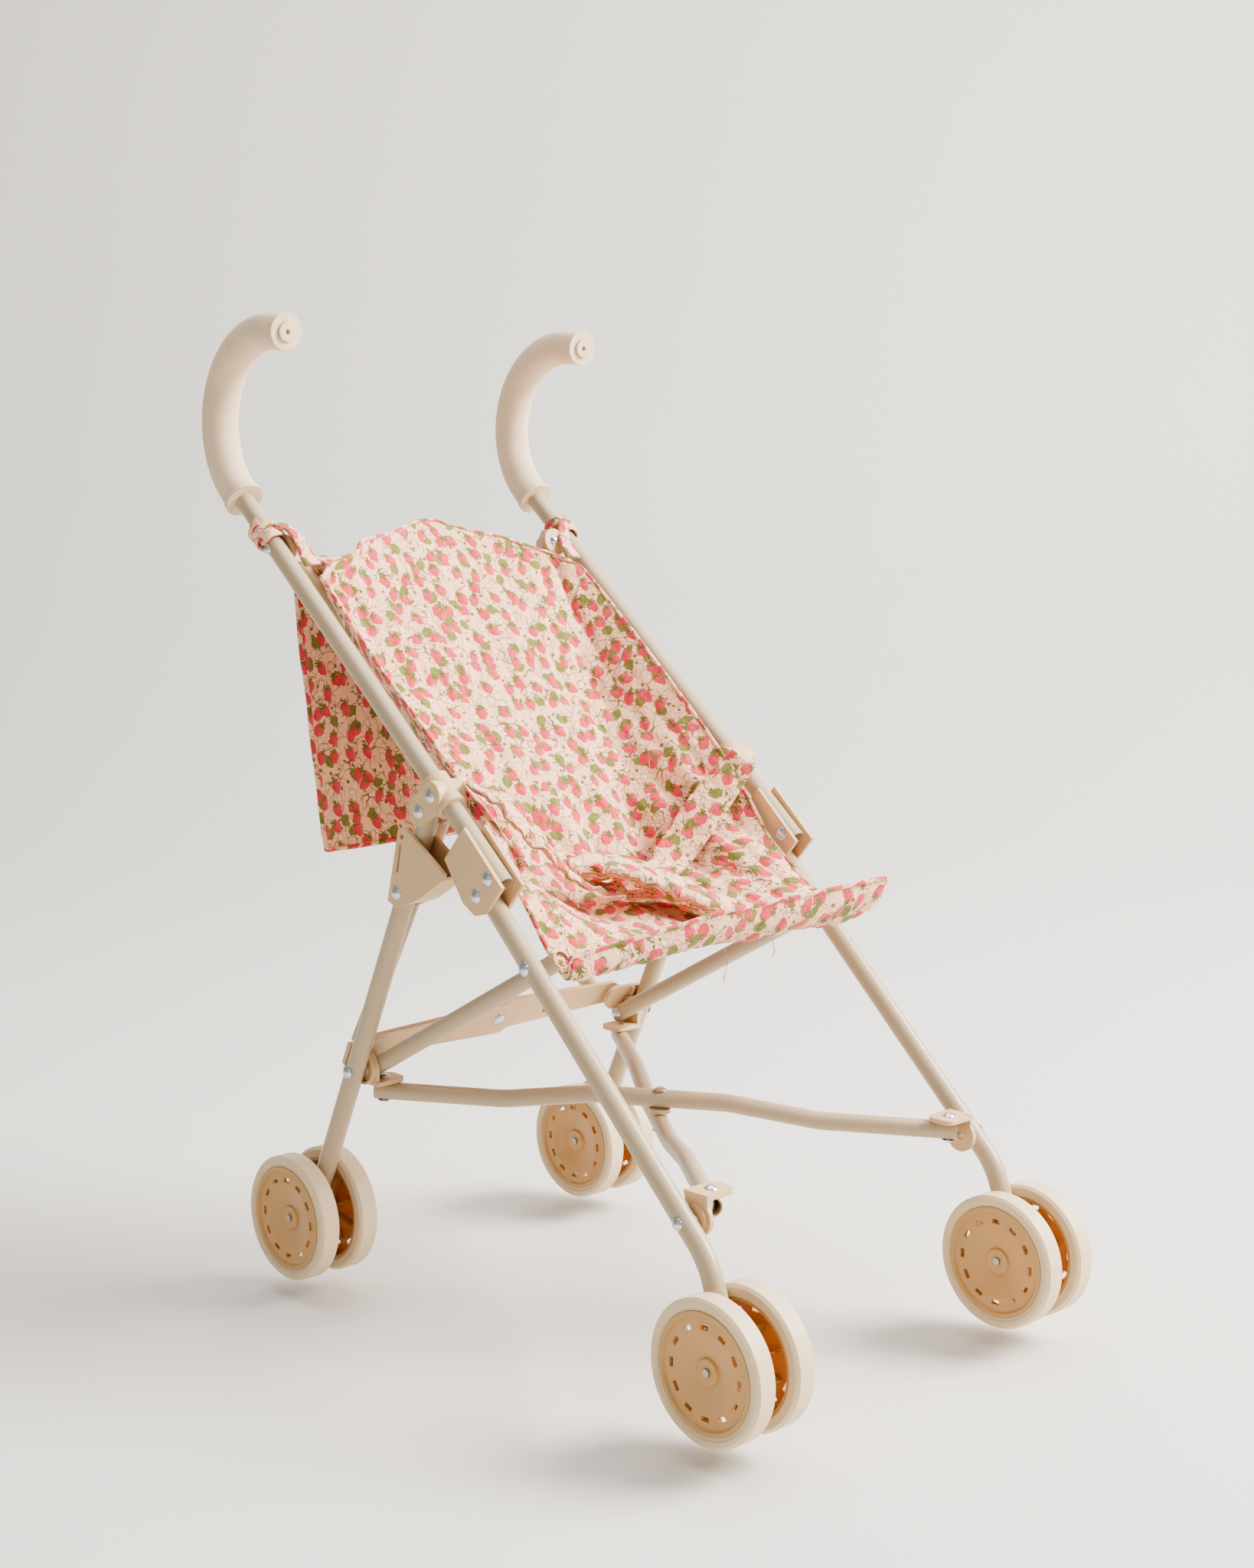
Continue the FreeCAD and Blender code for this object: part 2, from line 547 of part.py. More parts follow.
def bottom_tube(rear_x, front_x, bow):
    """One tube of the bottom cross, from its rear pin to its front pin."""
    rear = V(rear_x, CROSS_REAR[0], CROSS_REAR[1])
    front = V(front_x, CROSS_FRONT[0], CROSS_FRONT[1])
    axis = (front - rear).normalize()
    lift = CROSS_NORMAL * bow
    span = (front - rear).Length
    points = [rear - axis * 5.0, rear + axis * (span * 0.22), rear + axis * (span * 0.38) + lift,
              rear + axis * (span * 0.62) + lift, rear + axis * (span * 0.78), front + axis * 5.0]
    path = rounded_wire(points, [60.0] * 4)
    body = pipe(path, BRACE_R, BRACE_R - BRACE_WALL)
    middle = (rear + front) * 0.5
    gap = PIN_GAP if bow > 0 else 0.0
    body = body.cut(rod(middle - CROSS_NORMAL * 30, middle + CROSS_NORMAL * 30, PIN_R + gap))
    for pin in (rear, front):
        body = body.cut(rod(pin - CROSS_NORMAL * 20, pin + CROSS_NORMAL * 20, PIN_R))
    return body


def cross_middle():
    y = (CROSS_REAR[0] + CROSS_FRONT[0]) / 2
    return V(0, y, (CROSS_REAR[1] + CROSS_FRONT[1]) / 2)


def bottom_spacer():
    """Cup between the two bottom tubes where they cross."""
    middle = cross_middle()
    height = 2 * (CROSS_BOW - BRACE_R - SIDE_GAP)
    start = middle - CROSS_NORMAL * (height / 2)
    body = Part.makeCylinder(6.0, height, start, CROSS_NORMAL)
    return body.cut(Part.makeCylinder(PIN_R, 20, start - CROSS_NORMAL * 5, CROSS_NORMAL))


def shelf_rivet(x, pin, below):
    """Rivet of a bottom tube, from under it to the top of a bracket's shelf."""
    centre = V(x, pin[0], pin[1])
    top = BRACE_R + SHELF_GAP + PLATE
    return rivet(centre - CROSS_NORMAL * below, centre + CROSS_NORMAL * top, SHELF_HEAD_R)


# ---- lock bar and crossed back tubes ------------------------------------------------
def lock_half(side, depth):
    """Half of the folding lock bar, widening from its pin to the middle disc."""
    thick = REAR_BACK * LOCK_THICK
    pin = lock_centre(side * BACK_PIN_X, depth)
    middle = lock_centre(0, depth)
    body = Part.makeCylinder(LOCK_HALF_NARROW, LOCK_THICK, pin, REAR_BACK)
    body = body.fuse(Part.makeCylinder(LOCK_HALF_WIDE, LOCK_THICK, middle, REAR_BACK))
    narrow, wide = REAR_DIR * LOCK_HALF_NARROW, REAR_DIR * LOCK_HALF_WIDE
    outline = [pin - narrow, middle - wide, middle + wide, pin + narrow]
    body = body.fuse(Part.Face(Part.makePolygon(outline + [outline[0]])).extrude(thick))
    body = body.cut(Part.makeCylinder(LOCK_PIN + PIN_GAP, 20, pin - REAR_BACK * 5, REAR_BACK))
    if side < 0:
        body = body.cut(Part.makeCylinder(PIN_R, 20, middle - REAR_BACK * 5, REAR_BACK))
    slot = middle + (pin - middle) * 0.42 + REAR_DIR * 2.0
    cut = Part.makeBox(2.4, LOCK_THICK * 3, 5.0, V(-1.2, -LOCK_THICK * 1.5, -2.5))
    cut.Placement = FreeCAD.Placement(slot, FreeCAD.Rotation(V(0, 1, 0), REAR_BACK))
    return body.removeSplitter().cut(cut)


def back_tube(top_x, offset):
    """One tube of the back cross, from its top pin down to the other side."""
    shift = BACK_NORMAL * offset
    top = yz(BACK_TOP, top_x) + shift
    low = yz(BACK_BOTTOM, -top_x) + shift
    axis = (top - low).normalize()
    body = tube(low - axis * 5.0, top + axis * 6.0, BRACE_R, BRACE_WALL)
    middle = (top + low) * 0.5
    gap = PIN_GAP if offset == 0 else 0.0
    body = body.cut(rod(middle - BACK_NORMAL * 20, middle + BACK_NORMAL * 20, PIN_R + gap))
    return body.cut(rod(top - BACK_NORMAL * 20, top + BACK_NORMAL * 20, PIN_R))


def back_rivets(top_x, offset, with_middle):
    """Top rivet into the bracket, lower rivet head and the crossing rivet."""
    top = yz(BACK_TOP, top_x) + BACK_NORMAL * offset
    lug_front = top - BACK_NORMAL * (BRACE_R + SIDE_GAP + TOP_PLATE)
    parts = [rivet(lug_front, top + BACK_NORMAL * BRACE_R, 3.4)]
    if with_middle:
        middle = (yz(BACK_TOP, top_x) + yz(BACK_BOTTOM, -top_x)) * 0.5
        back = middle + BACK_NORMAL * (BACK_SPLIT + BRACE_R)
        parts.append(rivet(middle - BACK_NORMAL * BRACE_R, back))
    return group(*parts)


# ---- wheels -------------------------------------------------------------------------
def revolved(outline):
    """Turns an (across, radius) outline about the X axis."""
    corners = [V(x, 0, r) for x, r in outline]
    face = Part.Face(Part.makePolygon(corners + [corners[0]]))
    return face.revolve(V(0, 0, 0), V(1, 0, 0), 360)


def wheel_disc():
    """Dished wheel with a ring of windows and ribs behind; its face looks to +X."""
    rim_r = WHEEL_RADIUS - TYRE_DEPTH
    face = WHEEL_WIDTH / 2
    outline = [(face - 0.4, rim_r), (face - 0.4, rim_r - 2.2), (face - 1.6, rim_r - 3.0),
               (face - 1.6, 20.0), (face - 4.2, 7.0), (face - 3.0, 6.4), (face - 3.0, AXLE_R),
               (-face, AXLE_R), (-face, 5.4), (face - 6.6, 5.4), (face - 3.6, 20.6),
               (face - 3.6, rim_r - 1.8), (-face + 0.4, rim_r - 1.8), (-face + 0.4, rim_r)]
    body = revolved(outline)
    for index in range(WINDOW_COUNT):
        window = Part.makeBox(9, 4.8, 2.4, V(face - 6, -2.4, 21.0))
        window.rotate(V(0, 0, 0), V(1, 0, 0), index * 360.0 / WINDOW_COUNT)
        body = body.cut(window)
    for index in range(RIB_COUNT):
        rib = Part.makeBox(5.0, 1.0, 14.5, V(-face + 3.2, -0.5, 5.2))
        rib.rotate(V(0, 0, 0), V(1, 0, 0), (index + 0.5) * 360.0 / RIB_COUNT)
        body = body.fuse(rib)
    return body


def tyre():
    rim_r = WHEEL_RADIUS - TYRE_DEPTH
    face = WHEEL_WIDTH / 2
    outline = [(-face, rim_r), (-face, WHEEL_RADIUS - 1.6), (-face + 1.6, WHEEL_RADIUS),
               (face - 1.6, WHEEL_RADIUS), (face, WHEEL_RADIUS - 1.6), (face, rim_r + 2.0),
               (face - 0.8, rim_r + 1.4), (face - 0.8, rim_r)]
    return revolved(outline)


def pair_centre():
    return (PAIR_WIDTH - WHEEL_WIDTH) / 2


def wheel_pair(make, axle):
    """Both wheels of one leg: the outer faces +X, the inner faces -X."""
    outer = make()
    outer.translate(yz(axle, HALF_TRACK + pair_centre()))
    inner = make()
    inner.rotate(V(0, 0, 0), V(0, 0, 1), 180)
    inner.translate(yz(axle, HALF_TRACK - pair_centre()))
    return group(outer, inner)


def axle_rod(axle):
    half = PAIR_WIDTH / 2 - 2.0
    return x_rod(axle, HALF_TRACK - half, HALF_TRACK + half, AXLE_R)


# ---- fabric -------------------------------------------------------------------------
def band(points, thickness, x_from, x_to):
    """A bent sheet across X: points are the (y, z) of its upper face."""
    lower = []
    for index, point in enumerate(points):
        before = points[max(index - 1, 0)]
        after = points[min(index + 1, len(points) - 1)]
        run = V(0, after[0] - before[0], after[1] - before[1]).normalize()
        down = V(0, run.z, -run.y) * thickness
        lower.append((point[0] - down.y, point[1] - down.z))
    return side_plate(list(points) + lower[::-1], x_from, x_to)


def seat_sling():
    """Back and seat of the sling with its two side wings and the loops on the tubes."""
    line = [(-76, 231), (-48, 216), (0, 219), (40, 232), (62, 262), (92, 300), (128, 345),
            (157, 388), (180, 425)]
    body = band(line, FABRIC, -SEAT_HALF, SEAT_HALF)
    for x in (-SEAT_HALF - 1, CROWN_HALF):
        body = body.cut(side_plate([(140, 388), (240, 388), (240, 440), (140, 440)], x,
                                   x + SEAT_HALF + 1 - CROWN_HALF))
    wing = [(-42, 211), (0, 214), (42, 227), (66, 259), (93, 298), (80, 304), (20, 252)]
    left = side_plate(wing, SEAT_HALF, SEAT_HALF + WING)
    ring = tube(handle_point(LOOP_T), handle_point(LOOP_T + 12.0), TUBE_R + 2.4, 2.1)
    return group(body, left, mirrored(left), ring, mirrored(ring))


def rear_panel():
    top_y, top_z, low_y, low_z = 204.0, 412.0, 178.0, 243.0
    return band([(low_y, low_z), (top_y, top_z)], -PANEL, -PANEL_HALF, PANEL_HALF)


def belt_strip(start, end, half_width):
    """A flat strap between two points."""
    axis = (end - start).normalize()
    aside = axis.cross(V(0, -0.35, 1)).normalize() * half_width
    corners = [start + aside, end + aside, end - aside, start - aside]
    face = Part.Face(Part.makePolygon(corners + [corners[0]]))
    return face.extrude(axis.cross(aside).normalize() * -BELT)


def waist_belt():
    near = belt_strip(V(6 - SEAT_HALF, 30, 272), V(-14, 6, 230), 8.0)
    far = belt_strip(V(SEAT_HALF - 6, 30, 272), V(14, 6, 230), 8.0)
    crotch = belt_strip(V(0, -40, 224), V(0, -6, 228), 10.0)
    return group(near, far, crotch)


# ---- assembly -----------------------------------------------------------------------
def save(name, shape):
    shape.translate(V(0, -ORIGIN_Y, 0))
    shape.exportStep(os.path.join("parts", name + ".step"))
    print(name, "solids", len(shape.Solids), "volume", round(shape.Volume), "valid", shape.isValid())


def save_both(name, shape):
    other = mirrored(shape)
    save(name + "_left", shape)
    save(name + "_right", other)


def save_lower_brackets():
    save_both("rear_bracket", l_bracket(STRUT_REAR, CROSS_REAR, 0.0))
    save_both("front_bracket", l_bracket(FRONT_BRACKET, CROSS_FRONT, FRONT_BOSS))


def save_bottom_cross():
    save("bottom_tube_upper", bottom_tube(-CROSS_PIN_X, CROSS_PIN_X, CROSS_BOW))
    save("bottom_tube_lower", bottom_tube(CROSS_PIN_X, -CROSS_PIN_X, -CROSS_BOW))
    save("bottom_spacer", bottom_spacer())
    middle = cross_middle()
    reach = CROSS_BOW + BRACE_R
    crossing = rivet(middle - CROSS_NORMAL * reach, middle + CROSS_NORMAL * reach)
    front_left = shelf_rivet(CROSS_PIN_X, CROSS_FRONT, BRACE_R)
    front_right = shelf_rivet(-CROSS_PIN_X, CROSS_FRONT, BRACE_R)
    rear = shelf_rivet(-CROSS_PIN_X, CROSS_REAR, BRACE_R)
    save("rivets_bottom_lower", group(crossing, front_right))
    save("rivets_bottom_upper", group(rear, front_left))


def save_back_cross():
    save("back_tube_front", back_tube(BACK_PIN_X, 0.0))
    save("back_tube_rear", back_tube(-BACK_PIN_X, BACK_SPLIT))
    save("rivets_back_front", back_rivets(BACK_PIN_X, 0.0, False))
    save("rivets_back_rear", back_rivets(-BACK_PIN_X, BACK_SPLIT, True))
    save("top_bracket_left", top_bracket(0.0))
    save("top_bracket_right", mirrored(top_bracket(BACK_SPLIT)))


def save_lock():
    front_layer = LOCK_START
    rear_layer = LOCK_START + LOCK_THICK + SIDE_GAP
    save("lock_bar_right", lock_half(-1, front_layer))
    save("lock_bar_left", lock_half(1, rear_layer))
    save("rear_clip_right", mirrored(rear_clip(front_layer)))
    save("rear_clip_left", rear_clip(rear_layer))
    head = lock_centre(0, front_layer)
    button = rivet(head, head + REAR_BACK * LOCK_THICK)
    above = Part.makeCylinder(9.0, 6.0, head + REAR_BACK * LOCK_THICK, REAR_BACK)
    save("rivet_lock", button.cut(above))


def save_wheels():
    for name, axle in (("front", FRONT_AXLE), ("rear", REAR_AXLE)):
        save_both("wheel_discs_" + name, wheel_pair(wheel_disc, axle))
        save_both("tyres_" + name, wheel_pair(tyre, axle))
        save_both("axle_" + name, axle_rod(axle))


def main():
    os.makedirs("parts", exist_ok=True)
    for name, make in (("handle_tube", handle_tube), ("grip", grip), ("grip_plug", grip_plug),
                       ("collar", collar), ("rivets_handle", handle_rivets),
                       ("front_leg", front_leg), ("u_bracket", u_bracket),
                       ("rivets_front_leg", front_rivets), ("rear_leg", rear_leg),
                       ("rivets_rear_leg", rear_rivets), ("side_strut", strut), ("catch", catch)):
        save_both(name, make())
    save_lower_brackets()
    save_bottom_cross()
    save_back_cross()
    save_lock()
    save_wheels()
    save("seat_sling", seat_sling())
    save("rear_panel", rear_panel())
    save("waist_belt", waist_belt())


main()
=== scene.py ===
"""Doll stroller: finishes for the frame, and the sewn sling, panel, belt and tie loops.

Metres, +Z up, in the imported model's own frame: it faces -Y, and +X is its left side.
"""
import json
import math
import bpy
import numpy as np
from mathutils import Matrix, Vector, noise


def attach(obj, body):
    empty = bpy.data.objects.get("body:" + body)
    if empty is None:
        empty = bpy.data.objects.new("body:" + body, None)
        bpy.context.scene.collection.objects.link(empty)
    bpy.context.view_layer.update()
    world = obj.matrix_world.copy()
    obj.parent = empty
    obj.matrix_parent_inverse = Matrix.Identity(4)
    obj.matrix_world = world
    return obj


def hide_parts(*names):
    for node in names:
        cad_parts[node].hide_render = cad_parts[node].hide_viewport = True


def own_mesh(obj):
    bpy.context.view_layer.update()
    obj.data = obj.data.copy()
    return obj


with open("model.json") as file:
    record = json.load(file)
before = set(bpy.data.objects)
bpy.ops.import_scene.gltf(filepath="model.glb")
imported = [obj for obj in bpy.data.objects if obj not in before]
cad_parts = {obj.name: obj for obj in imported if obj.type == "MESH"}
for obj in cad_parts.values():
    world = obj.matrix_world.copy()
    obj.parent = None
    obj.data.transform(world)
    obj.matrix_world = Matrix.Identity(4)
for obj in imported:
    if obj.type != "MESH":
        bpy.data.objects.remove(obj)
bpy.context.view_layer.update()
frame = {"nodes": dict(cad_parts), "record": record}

MM = 0.001
ORIGIN_Y = 22.39             # the sewn pieces are written from halfway between the axles
HANDLE_ANGLE = math.radians(41.6)
HANDLE_PIVOT = np.array([-3.7, 250.5])
HANDLE_X = 111.0
TUBE_R = 5.5
CHANNEL = 12.4               # spacing of the sewn channels, mm


def srgb(red, green, blue):
    """A colour given as 0-255 screen values, as linear RGBA."""
    values = [c / 255.0 for c in (red, green, blue)]
    return tuple(c / 12.92 if c < 0.04045 else ((c + 0.055) / 1.055) ** 2.4 for c in values) + (1.0,)


# ---- node helpers -------------------------------------------------------------------
def add(tree, kind, inputs=None, **settings):
    made = tree.nodes.new(kind)
    for name, value in settings.items():
        setattr(made, name, value)
    for name, value in (inputs or {}).items():
        socket = made.inputs[name]
        if isinstance(value, bpy.types.NodeSocket):
            tree.links.new(value, socket)
        else:
            socket.default_value = value
    return made


def calc(tree, operation, first, second=0.0, clamp=False):
    return add(tree, "ShaderNodeMath", {0: first, 1: second},
               operation=operation, use_clamp=clamp).outputs[0]


def vec(tree, operation, first, second=(0, 0, 0)):
    return add(tree, "ShaderNodeVectorMath", {0: first, 1: second}, operation=operation).outputs[0]


def blend_colour(tree, amount, first, second):
    return add(tree, "ShaderNodeMix", {0: amount, 6: first, 7: second}, data_type="RGBA").outputs[2]


def length_of(tree, vector):
    return add(tree, "ShaderNodeVectorMath", {0: vector}, operation="LENGTH").outputs["Value"]


def ramp(tree, value, low, high, out_low=0.0, out_high=1.0):
    return add(tree, "ShaderNodeMapRange", {"Value": value, "From Min": low, "From Max": high,
                                            "To Min": out_low, "To Max": out_high}).outputs[0]


def new_group(name, inputs, outputs):
    """A shader group with (name, socket type, start value) inputs and (name, type) outputs."""
    tree = bpy.data.node_groups.new(name, "ShaderNodeTree")
    for label, kind, start in inputs:
        socket = tree.interface.new_socket(label, in_out="INPUT", socket_type="NodeSocket" + kind)
        if start is not None:
            socket.default_value = start
    for label, kind in outputs:
        tree.interface.new_socket(label, in_out="OUTPUT", socket_type="NodeSocket" + kind)
    return tree, tree.nodes.new("NodeGroupInput"), tree.nodes.new("NodeGroupOutput")


def use(tree, group, **inputs):
    made = tree.nodes.new("ShaderNodeGroup")
    made.node_tree = group
    for name, value in inputs.items():
        socket = made.inputs[name.replace("_", " ")]
        if isinstance(value, bpy.types.NodeSocket):
            tree.links.new(value, socket)
        else:
            socket.default_value = value
    return made


# ---- shared effects -----------------------------------------------------------------
def make_tone_drift():
    """Slow and fine colour variation of a moulded or painted surface."""
    tree, given, out = new_group("tone_drift", [("Color", "Color", (1, 1, 1, 1)),
                                                ("Scale", "Float", 30.0),
                                                ("Amount", "Float", 0.1)], [("Color", "Color")])
    place = add(tree, "ShaderNodeTexCoord").outputs["Object"]
    slow = add(tree, "ShaderNodeTexNoise", {"Vector": place, "Scale": given.outputs["Scale"],
                                            "Detail": 3.0}).outputs["Fac"]
    fine = add(tree, "ShaderNodeTexNoise", {"Vector": place, "Scale": 900.0, "Detail": 2.0}).outputs["Fac"]
    shade = calc(tree, "ADD", calc(tree, "MULTIPLY", slow, 0.7), calc(tree, "MULTIPLY", fine, 0.3))
    shade = calc(tree, "SUBTRACT", shade, 0.5)
    swing = calc(tree, "MULTIPLY", given.outputs["Amount"], 4.0)
    gain = calc(tree, "ADD", calc(tree, "MULTIPLY", shade, swing), 1.0)
    scaled = add(tree, "ShaderNodeVectorMath", {0: given.outputs["Color"], "Scale": gain},
                 operation="SCALE").outputs[0]
    tree.links.new(scaled, out.inputs["Color"])
    return tree


def make_edge_finder():
    """A mask of the edges, used to paint edge highlights and shade, and a normal that rounds them."""
    tree, given, out = new_group("edge_finder", [("Radius", "Float", 0.0006)],
                                 [("Mask", "Float"), ("Normal", "Vector")])
    bevel = add(tree, "ShaderNodeBevel", {"Radius": given.outputs["Radius"]}, samples=4).outputs[0]
    true_normal = add(tree, "ShaderNodeNewGeometry").outputs["True Normal"]
    turn = add(tree, "ShaderNodeVectorMath", {0: bevel, 1: true_normal},
               operation="DOT_PRODUCT").outputs["Value"]
    tree.links.new(ramp(tree, turn, 0.985, 0.80), out.inputs["Mask"])
    tree.links.new(bevel, out.inputs["Normal"])
    return tree


def make_fine_grain():
    """Height of a fine grain, for orange peel, foam cells or mould texture."""
    tree, given, out = new_group("fine_grain", [("Scale", "Float", 900.0), ("Cells", "Float", 0.0)],
                                 [("Height", "Float")])
    place = add(tree, "ShaderNodeTexCoord").outputs["Object"]
    soft = add(tree, "ShaderNodeTexNoise", {"Vector": place, "Scale": given.outputs["Scale"],
                                            "Detail": 3.0, "Roughness": 0.6}).outputs["Fac"]
    cells = add(tree, "ShaderNodeTexVoronoi", {"Vector": place,
                                               "Scale": given.outputs["Scale"]}).outputs["Distance"]
    mixed = add(tree, "ShaderNodeMix", {0: given.outputs["Cells"], 2: soft, 3: cells},
                data_type="FLOAT").outputs[0]
    tree.links.new(mixed, out.inputs["Height"])
    return tree


def make_handling_marks():
    """Faint smudges and rubbed spots, as a roughness offset around 0."""
    tree, given, out = new_group("handling_marks", [("Amount", "Float", 0.1)], [("Offset", "Float")])
    place = add(tree, "ShaderNodeTexCoord").outputs["Object"]
    smudge = add(tree, "ShaderNodeTexNoise", {"Vector": place, "Scale": 45.0, "Detail": 5.0,
                                              "Distortion": 0.6}).outputs["Fac"]
    centred = calc(tree, "SUBTRACT", smudge, 0.5)
    tree.links.new(calc(tree, "MULTIPLY", centred, given.outputs["Amount"]), out.inputs["Offset"])
    return tree


def make_cotton_weave():
    """Height and colour shade of a plain weave, from cloth coordinates in millimetres: painted shade that
    darkens the gaps between threads, plus the yarn's own slub tone.
    """
    tree, given, out = new_group("cotton_weave", [("Vector", "Vector", None), ("Thread", "Float", 0.42)],
                                 [("Height", "Float"), ("Painted Shade And Slub", "Float")])
    split = add(tree, "ShaderNodeSeparateXYZ", {0: given.outputs["Vector"]})
    turns = calc(tree, "DIVIDE", math.pi, given.outputs["Thread"])
    across = calc(tree, "ABSOLUTE", calc(tree, "SINE", calc(tree, "MULTIPLY", split.outputs[0], turns)))
    along = calc(tree, "ABSOLUTE", calc(tree, "SINE", calc(tree, "MULTIPLY", split.outputs[1], turns)))
    height = calc(tree, "MULTIPLY", calc(tree, "ADD", across, along), 0.5)
    slub = add(tree, "ShaderNodeTexNoise", {"Vector": given.outputs["Vector"], "Scale": 0.6,
                                            "Detail": 4.0}).outputs["Fac"]
    tree.links.new(height, out.inputs["Height"])
    # painted shade of the thread relief (darker between threads) plus real slub tone variation
    shade = calc(tree, "ADD", calc(tree, "MULTIPLY", height, 0.10), calc(tree, "MULTIPLY", slub, 0.16))
    tree.links.new(calc(tree, "ADD", shade, 0.86), out.inputs["Painted Shade And Slub"])
    return tree


def scattered(tree, place, cell, offset, turn_share, randomness=0.8):
    """Local (x, y) in mm about the nearest of a scatter of points, turned at random."""
    spot = vec(tree, "ADD", vec(tree, "MULTIPLY", place, (1 / cell, 1 / cell, 0)), offset)
    cells = add(tree, "ShaderNodeTexVoronoi", {"Vector": spot, "Scale": 1.0, "Randomness": randomness},
                voronoi_dimensions="2D")
    local = vec(tree, "MULTIPLY", vec(tree, "SUBTRACT", spot, cells.outputs["Position"]), (cell, cell, 0))
    chance = add(tree, "ShaderNodeSeparateColor", {0: cells.outputs["Color"]})
    angle = calc(tree, "MULTIPLY", calc(tree, "SUBTRACT", chance.outputs[0], 0.5), turn_share * 2 * math.pi)
    turned = add(tree, "ShaderNodeVectorRotate", {"Vector": local, "Angle": angle},
                 rotation_type="Z_AXIS").outputs[0]
    split = add(tree, "ShaderNodeSeparateXYZ", {0: turned})
    return turned, split.outputs[0], split.outputs[1], chance


def inside(tree, value, limit, soft):
    """1 where value is under limit, falling to 0 over a soft edge."""
    return ramp(tree, value, limit + soft, limit - soft)


def make_berry_print():
    """Strawberries, leaves, berries and fine vines on a peach ground, coordinates in mm."""
    tree, given, out = new_group("berry_print", [("Vector", "Vector", None)], [("Color", "Color")])
    place = given.outputs["Vector"]
    wobble = add(tree, "ShaderNodeTexNoise", {"Vector": place, "Scale": 0.25, "Detail": 1.0},
                 noise_dimensions="2D").outputs["Color"]
    centred = vec(tree, "SUBTRACT", wobble, (0.5, 0.5, 0.5))
    place = vec(tree, "ADD", place, vec(tree, "MULTIPLY", centred, (2.2, 2.2, 0)))
    colour = blend_colour(tree, 0.0, srgb(250, 200, 166), srgb(250, 200, 166))

    # fine vines: contour lines of slow noise, broken by a second noise
    for scale, level, width, tone, offset in ((0.085, 0.50, 0.013, srgb(104, 90, 52), 3.1),
                                              (0.13, 0.47, 0.013, srgb(140, 120, 78), 11.7),
                                              (0.11, 0.56, 0.013, srgb(92, 80, 46), 27.3)):
        moved = vec(tree, "ADD", place, (offset, offset * 2, 0))
        field = add(tree, "ShaderNodeTexNoise", {"Vector": moved, "Scale": scale, "Detail": 0.6},
                    noise_dimensions="2D").outputs["Fac"]
        gate = add(tree, "ShaderNodeTexNoise", {"Vector": moved, "Scale": 0.06, "Detail": 0.0},
                   noise_dimensions="2D").outputs["Fac"]
        line = inside(tree, calc(tree, "ABSOLUTE", calc(tree, "SUBTRACT", field, level)), width, width * 0.4)
        line = calc(tree, "MULTIPLY", line, ramp(tree, gate, 0.40, 0.46))
        colour = blend_colour(tree, calc(tree, "MULTIPLY", line, 0.85), colour, tone)

    # outlined pale berries with a dotted middle
    reach = length_of(tree, scattered(tree, place, 12.5, (5.3, 2.7, 0), 1.0)[0])
    ring = inside(tree, calc(tree, "ABSOLUTE", calc(tree, "SUBTRACT", reach, 2.3)), 0.24, 0.12)
    middle = calc(tree, "MULTIPLY", inside(tree, reach, 2.3, 0.2), 0.55)
    colour = blend_colour(tree, middle, colour, srgb(246, 222, 196))
    colour = blend_colour(tree, calc(tree, "MULTIPLY", ring, 0.8), colour, srgb(170, 132, 92))

    # small olive buds
    turned, x, y, chance = scattered(tree, place, 8.6, (1.9, 7.1, 0), 1.0, 1.0)
    reach = length_of(tree, turned)
    picked = calc(tree, "GREATER_THAN", chance.outputs[2], 0.35)
    bud = calc(tree, "MULTIPLY", inside(tree, reach, 1.0, 0.2), picked)
    stalk = calc(tree, "MULTIPLY", inside(tree, calc(tree, "ABSOLUTE", calc(tree, "ADD", x, calc(
        tree, "MULTIPLY", calc(tree, "MULTIPLY", y, y), 0.12))), 0.20, 0.1), inside(tree, calc(
            tree, "ABSOLUTE", calc(tree, "SUBTRACT", y, 2.0)), 2.4, 0.1))
    colour = blend_colour(tree, calc(tree, "MULTIPLY", stalk, 0.8), colour, srgb(120, 112, 62))
    colour = blend_colour(tree, bud, colour, srgb(116, 112, 60))

    # olive leaves with a pale vein
    turned, x, y, chance = scattered(tree, place, 19.0, (9.4, 4.6, 0), 1.0, 0.9)
    ragged = add(tree, "ShaderNodeTexNoise", {"Vector": place, "Scale": 1.1, "Detail": 1.0},
                 noise_dimensions="2D").outputs["Fac"]
    lengthways = calc(tree, "DIVIDE", y, 4.6)
    squared = calc(tree, "MULTIPLY", lengthways, lengthways)
    width = calc(tree, "MULTIPLY", calc(tree, "SUBTRACT", 1.0, squared), 3.3)
    width = calc(tree, "ADD", width, calc(tree, "MULTIPLY", calc(tree, "SUBTRACT", ragged, 0.5), 1.8))
    leaf = inside(tree, calc(tree, "SUBTRACT", calc(tree, "ABSOLUTE", x), width), 0.0, 0.12)
    vein = inside(tree, calc(tree, "ABSOLUTE", x), 0.16, 0.08)
    green = blend_colour(tree, ragged, srgb(108, 112, 48), srgb(138, 136, 70))
    green = blend_colour(tree, calc(tree, "MULTIPLY", vein, 0.5), green, srgb(172, 166, 108))
    colour = blend_colour(tree, leaf, colour, green)

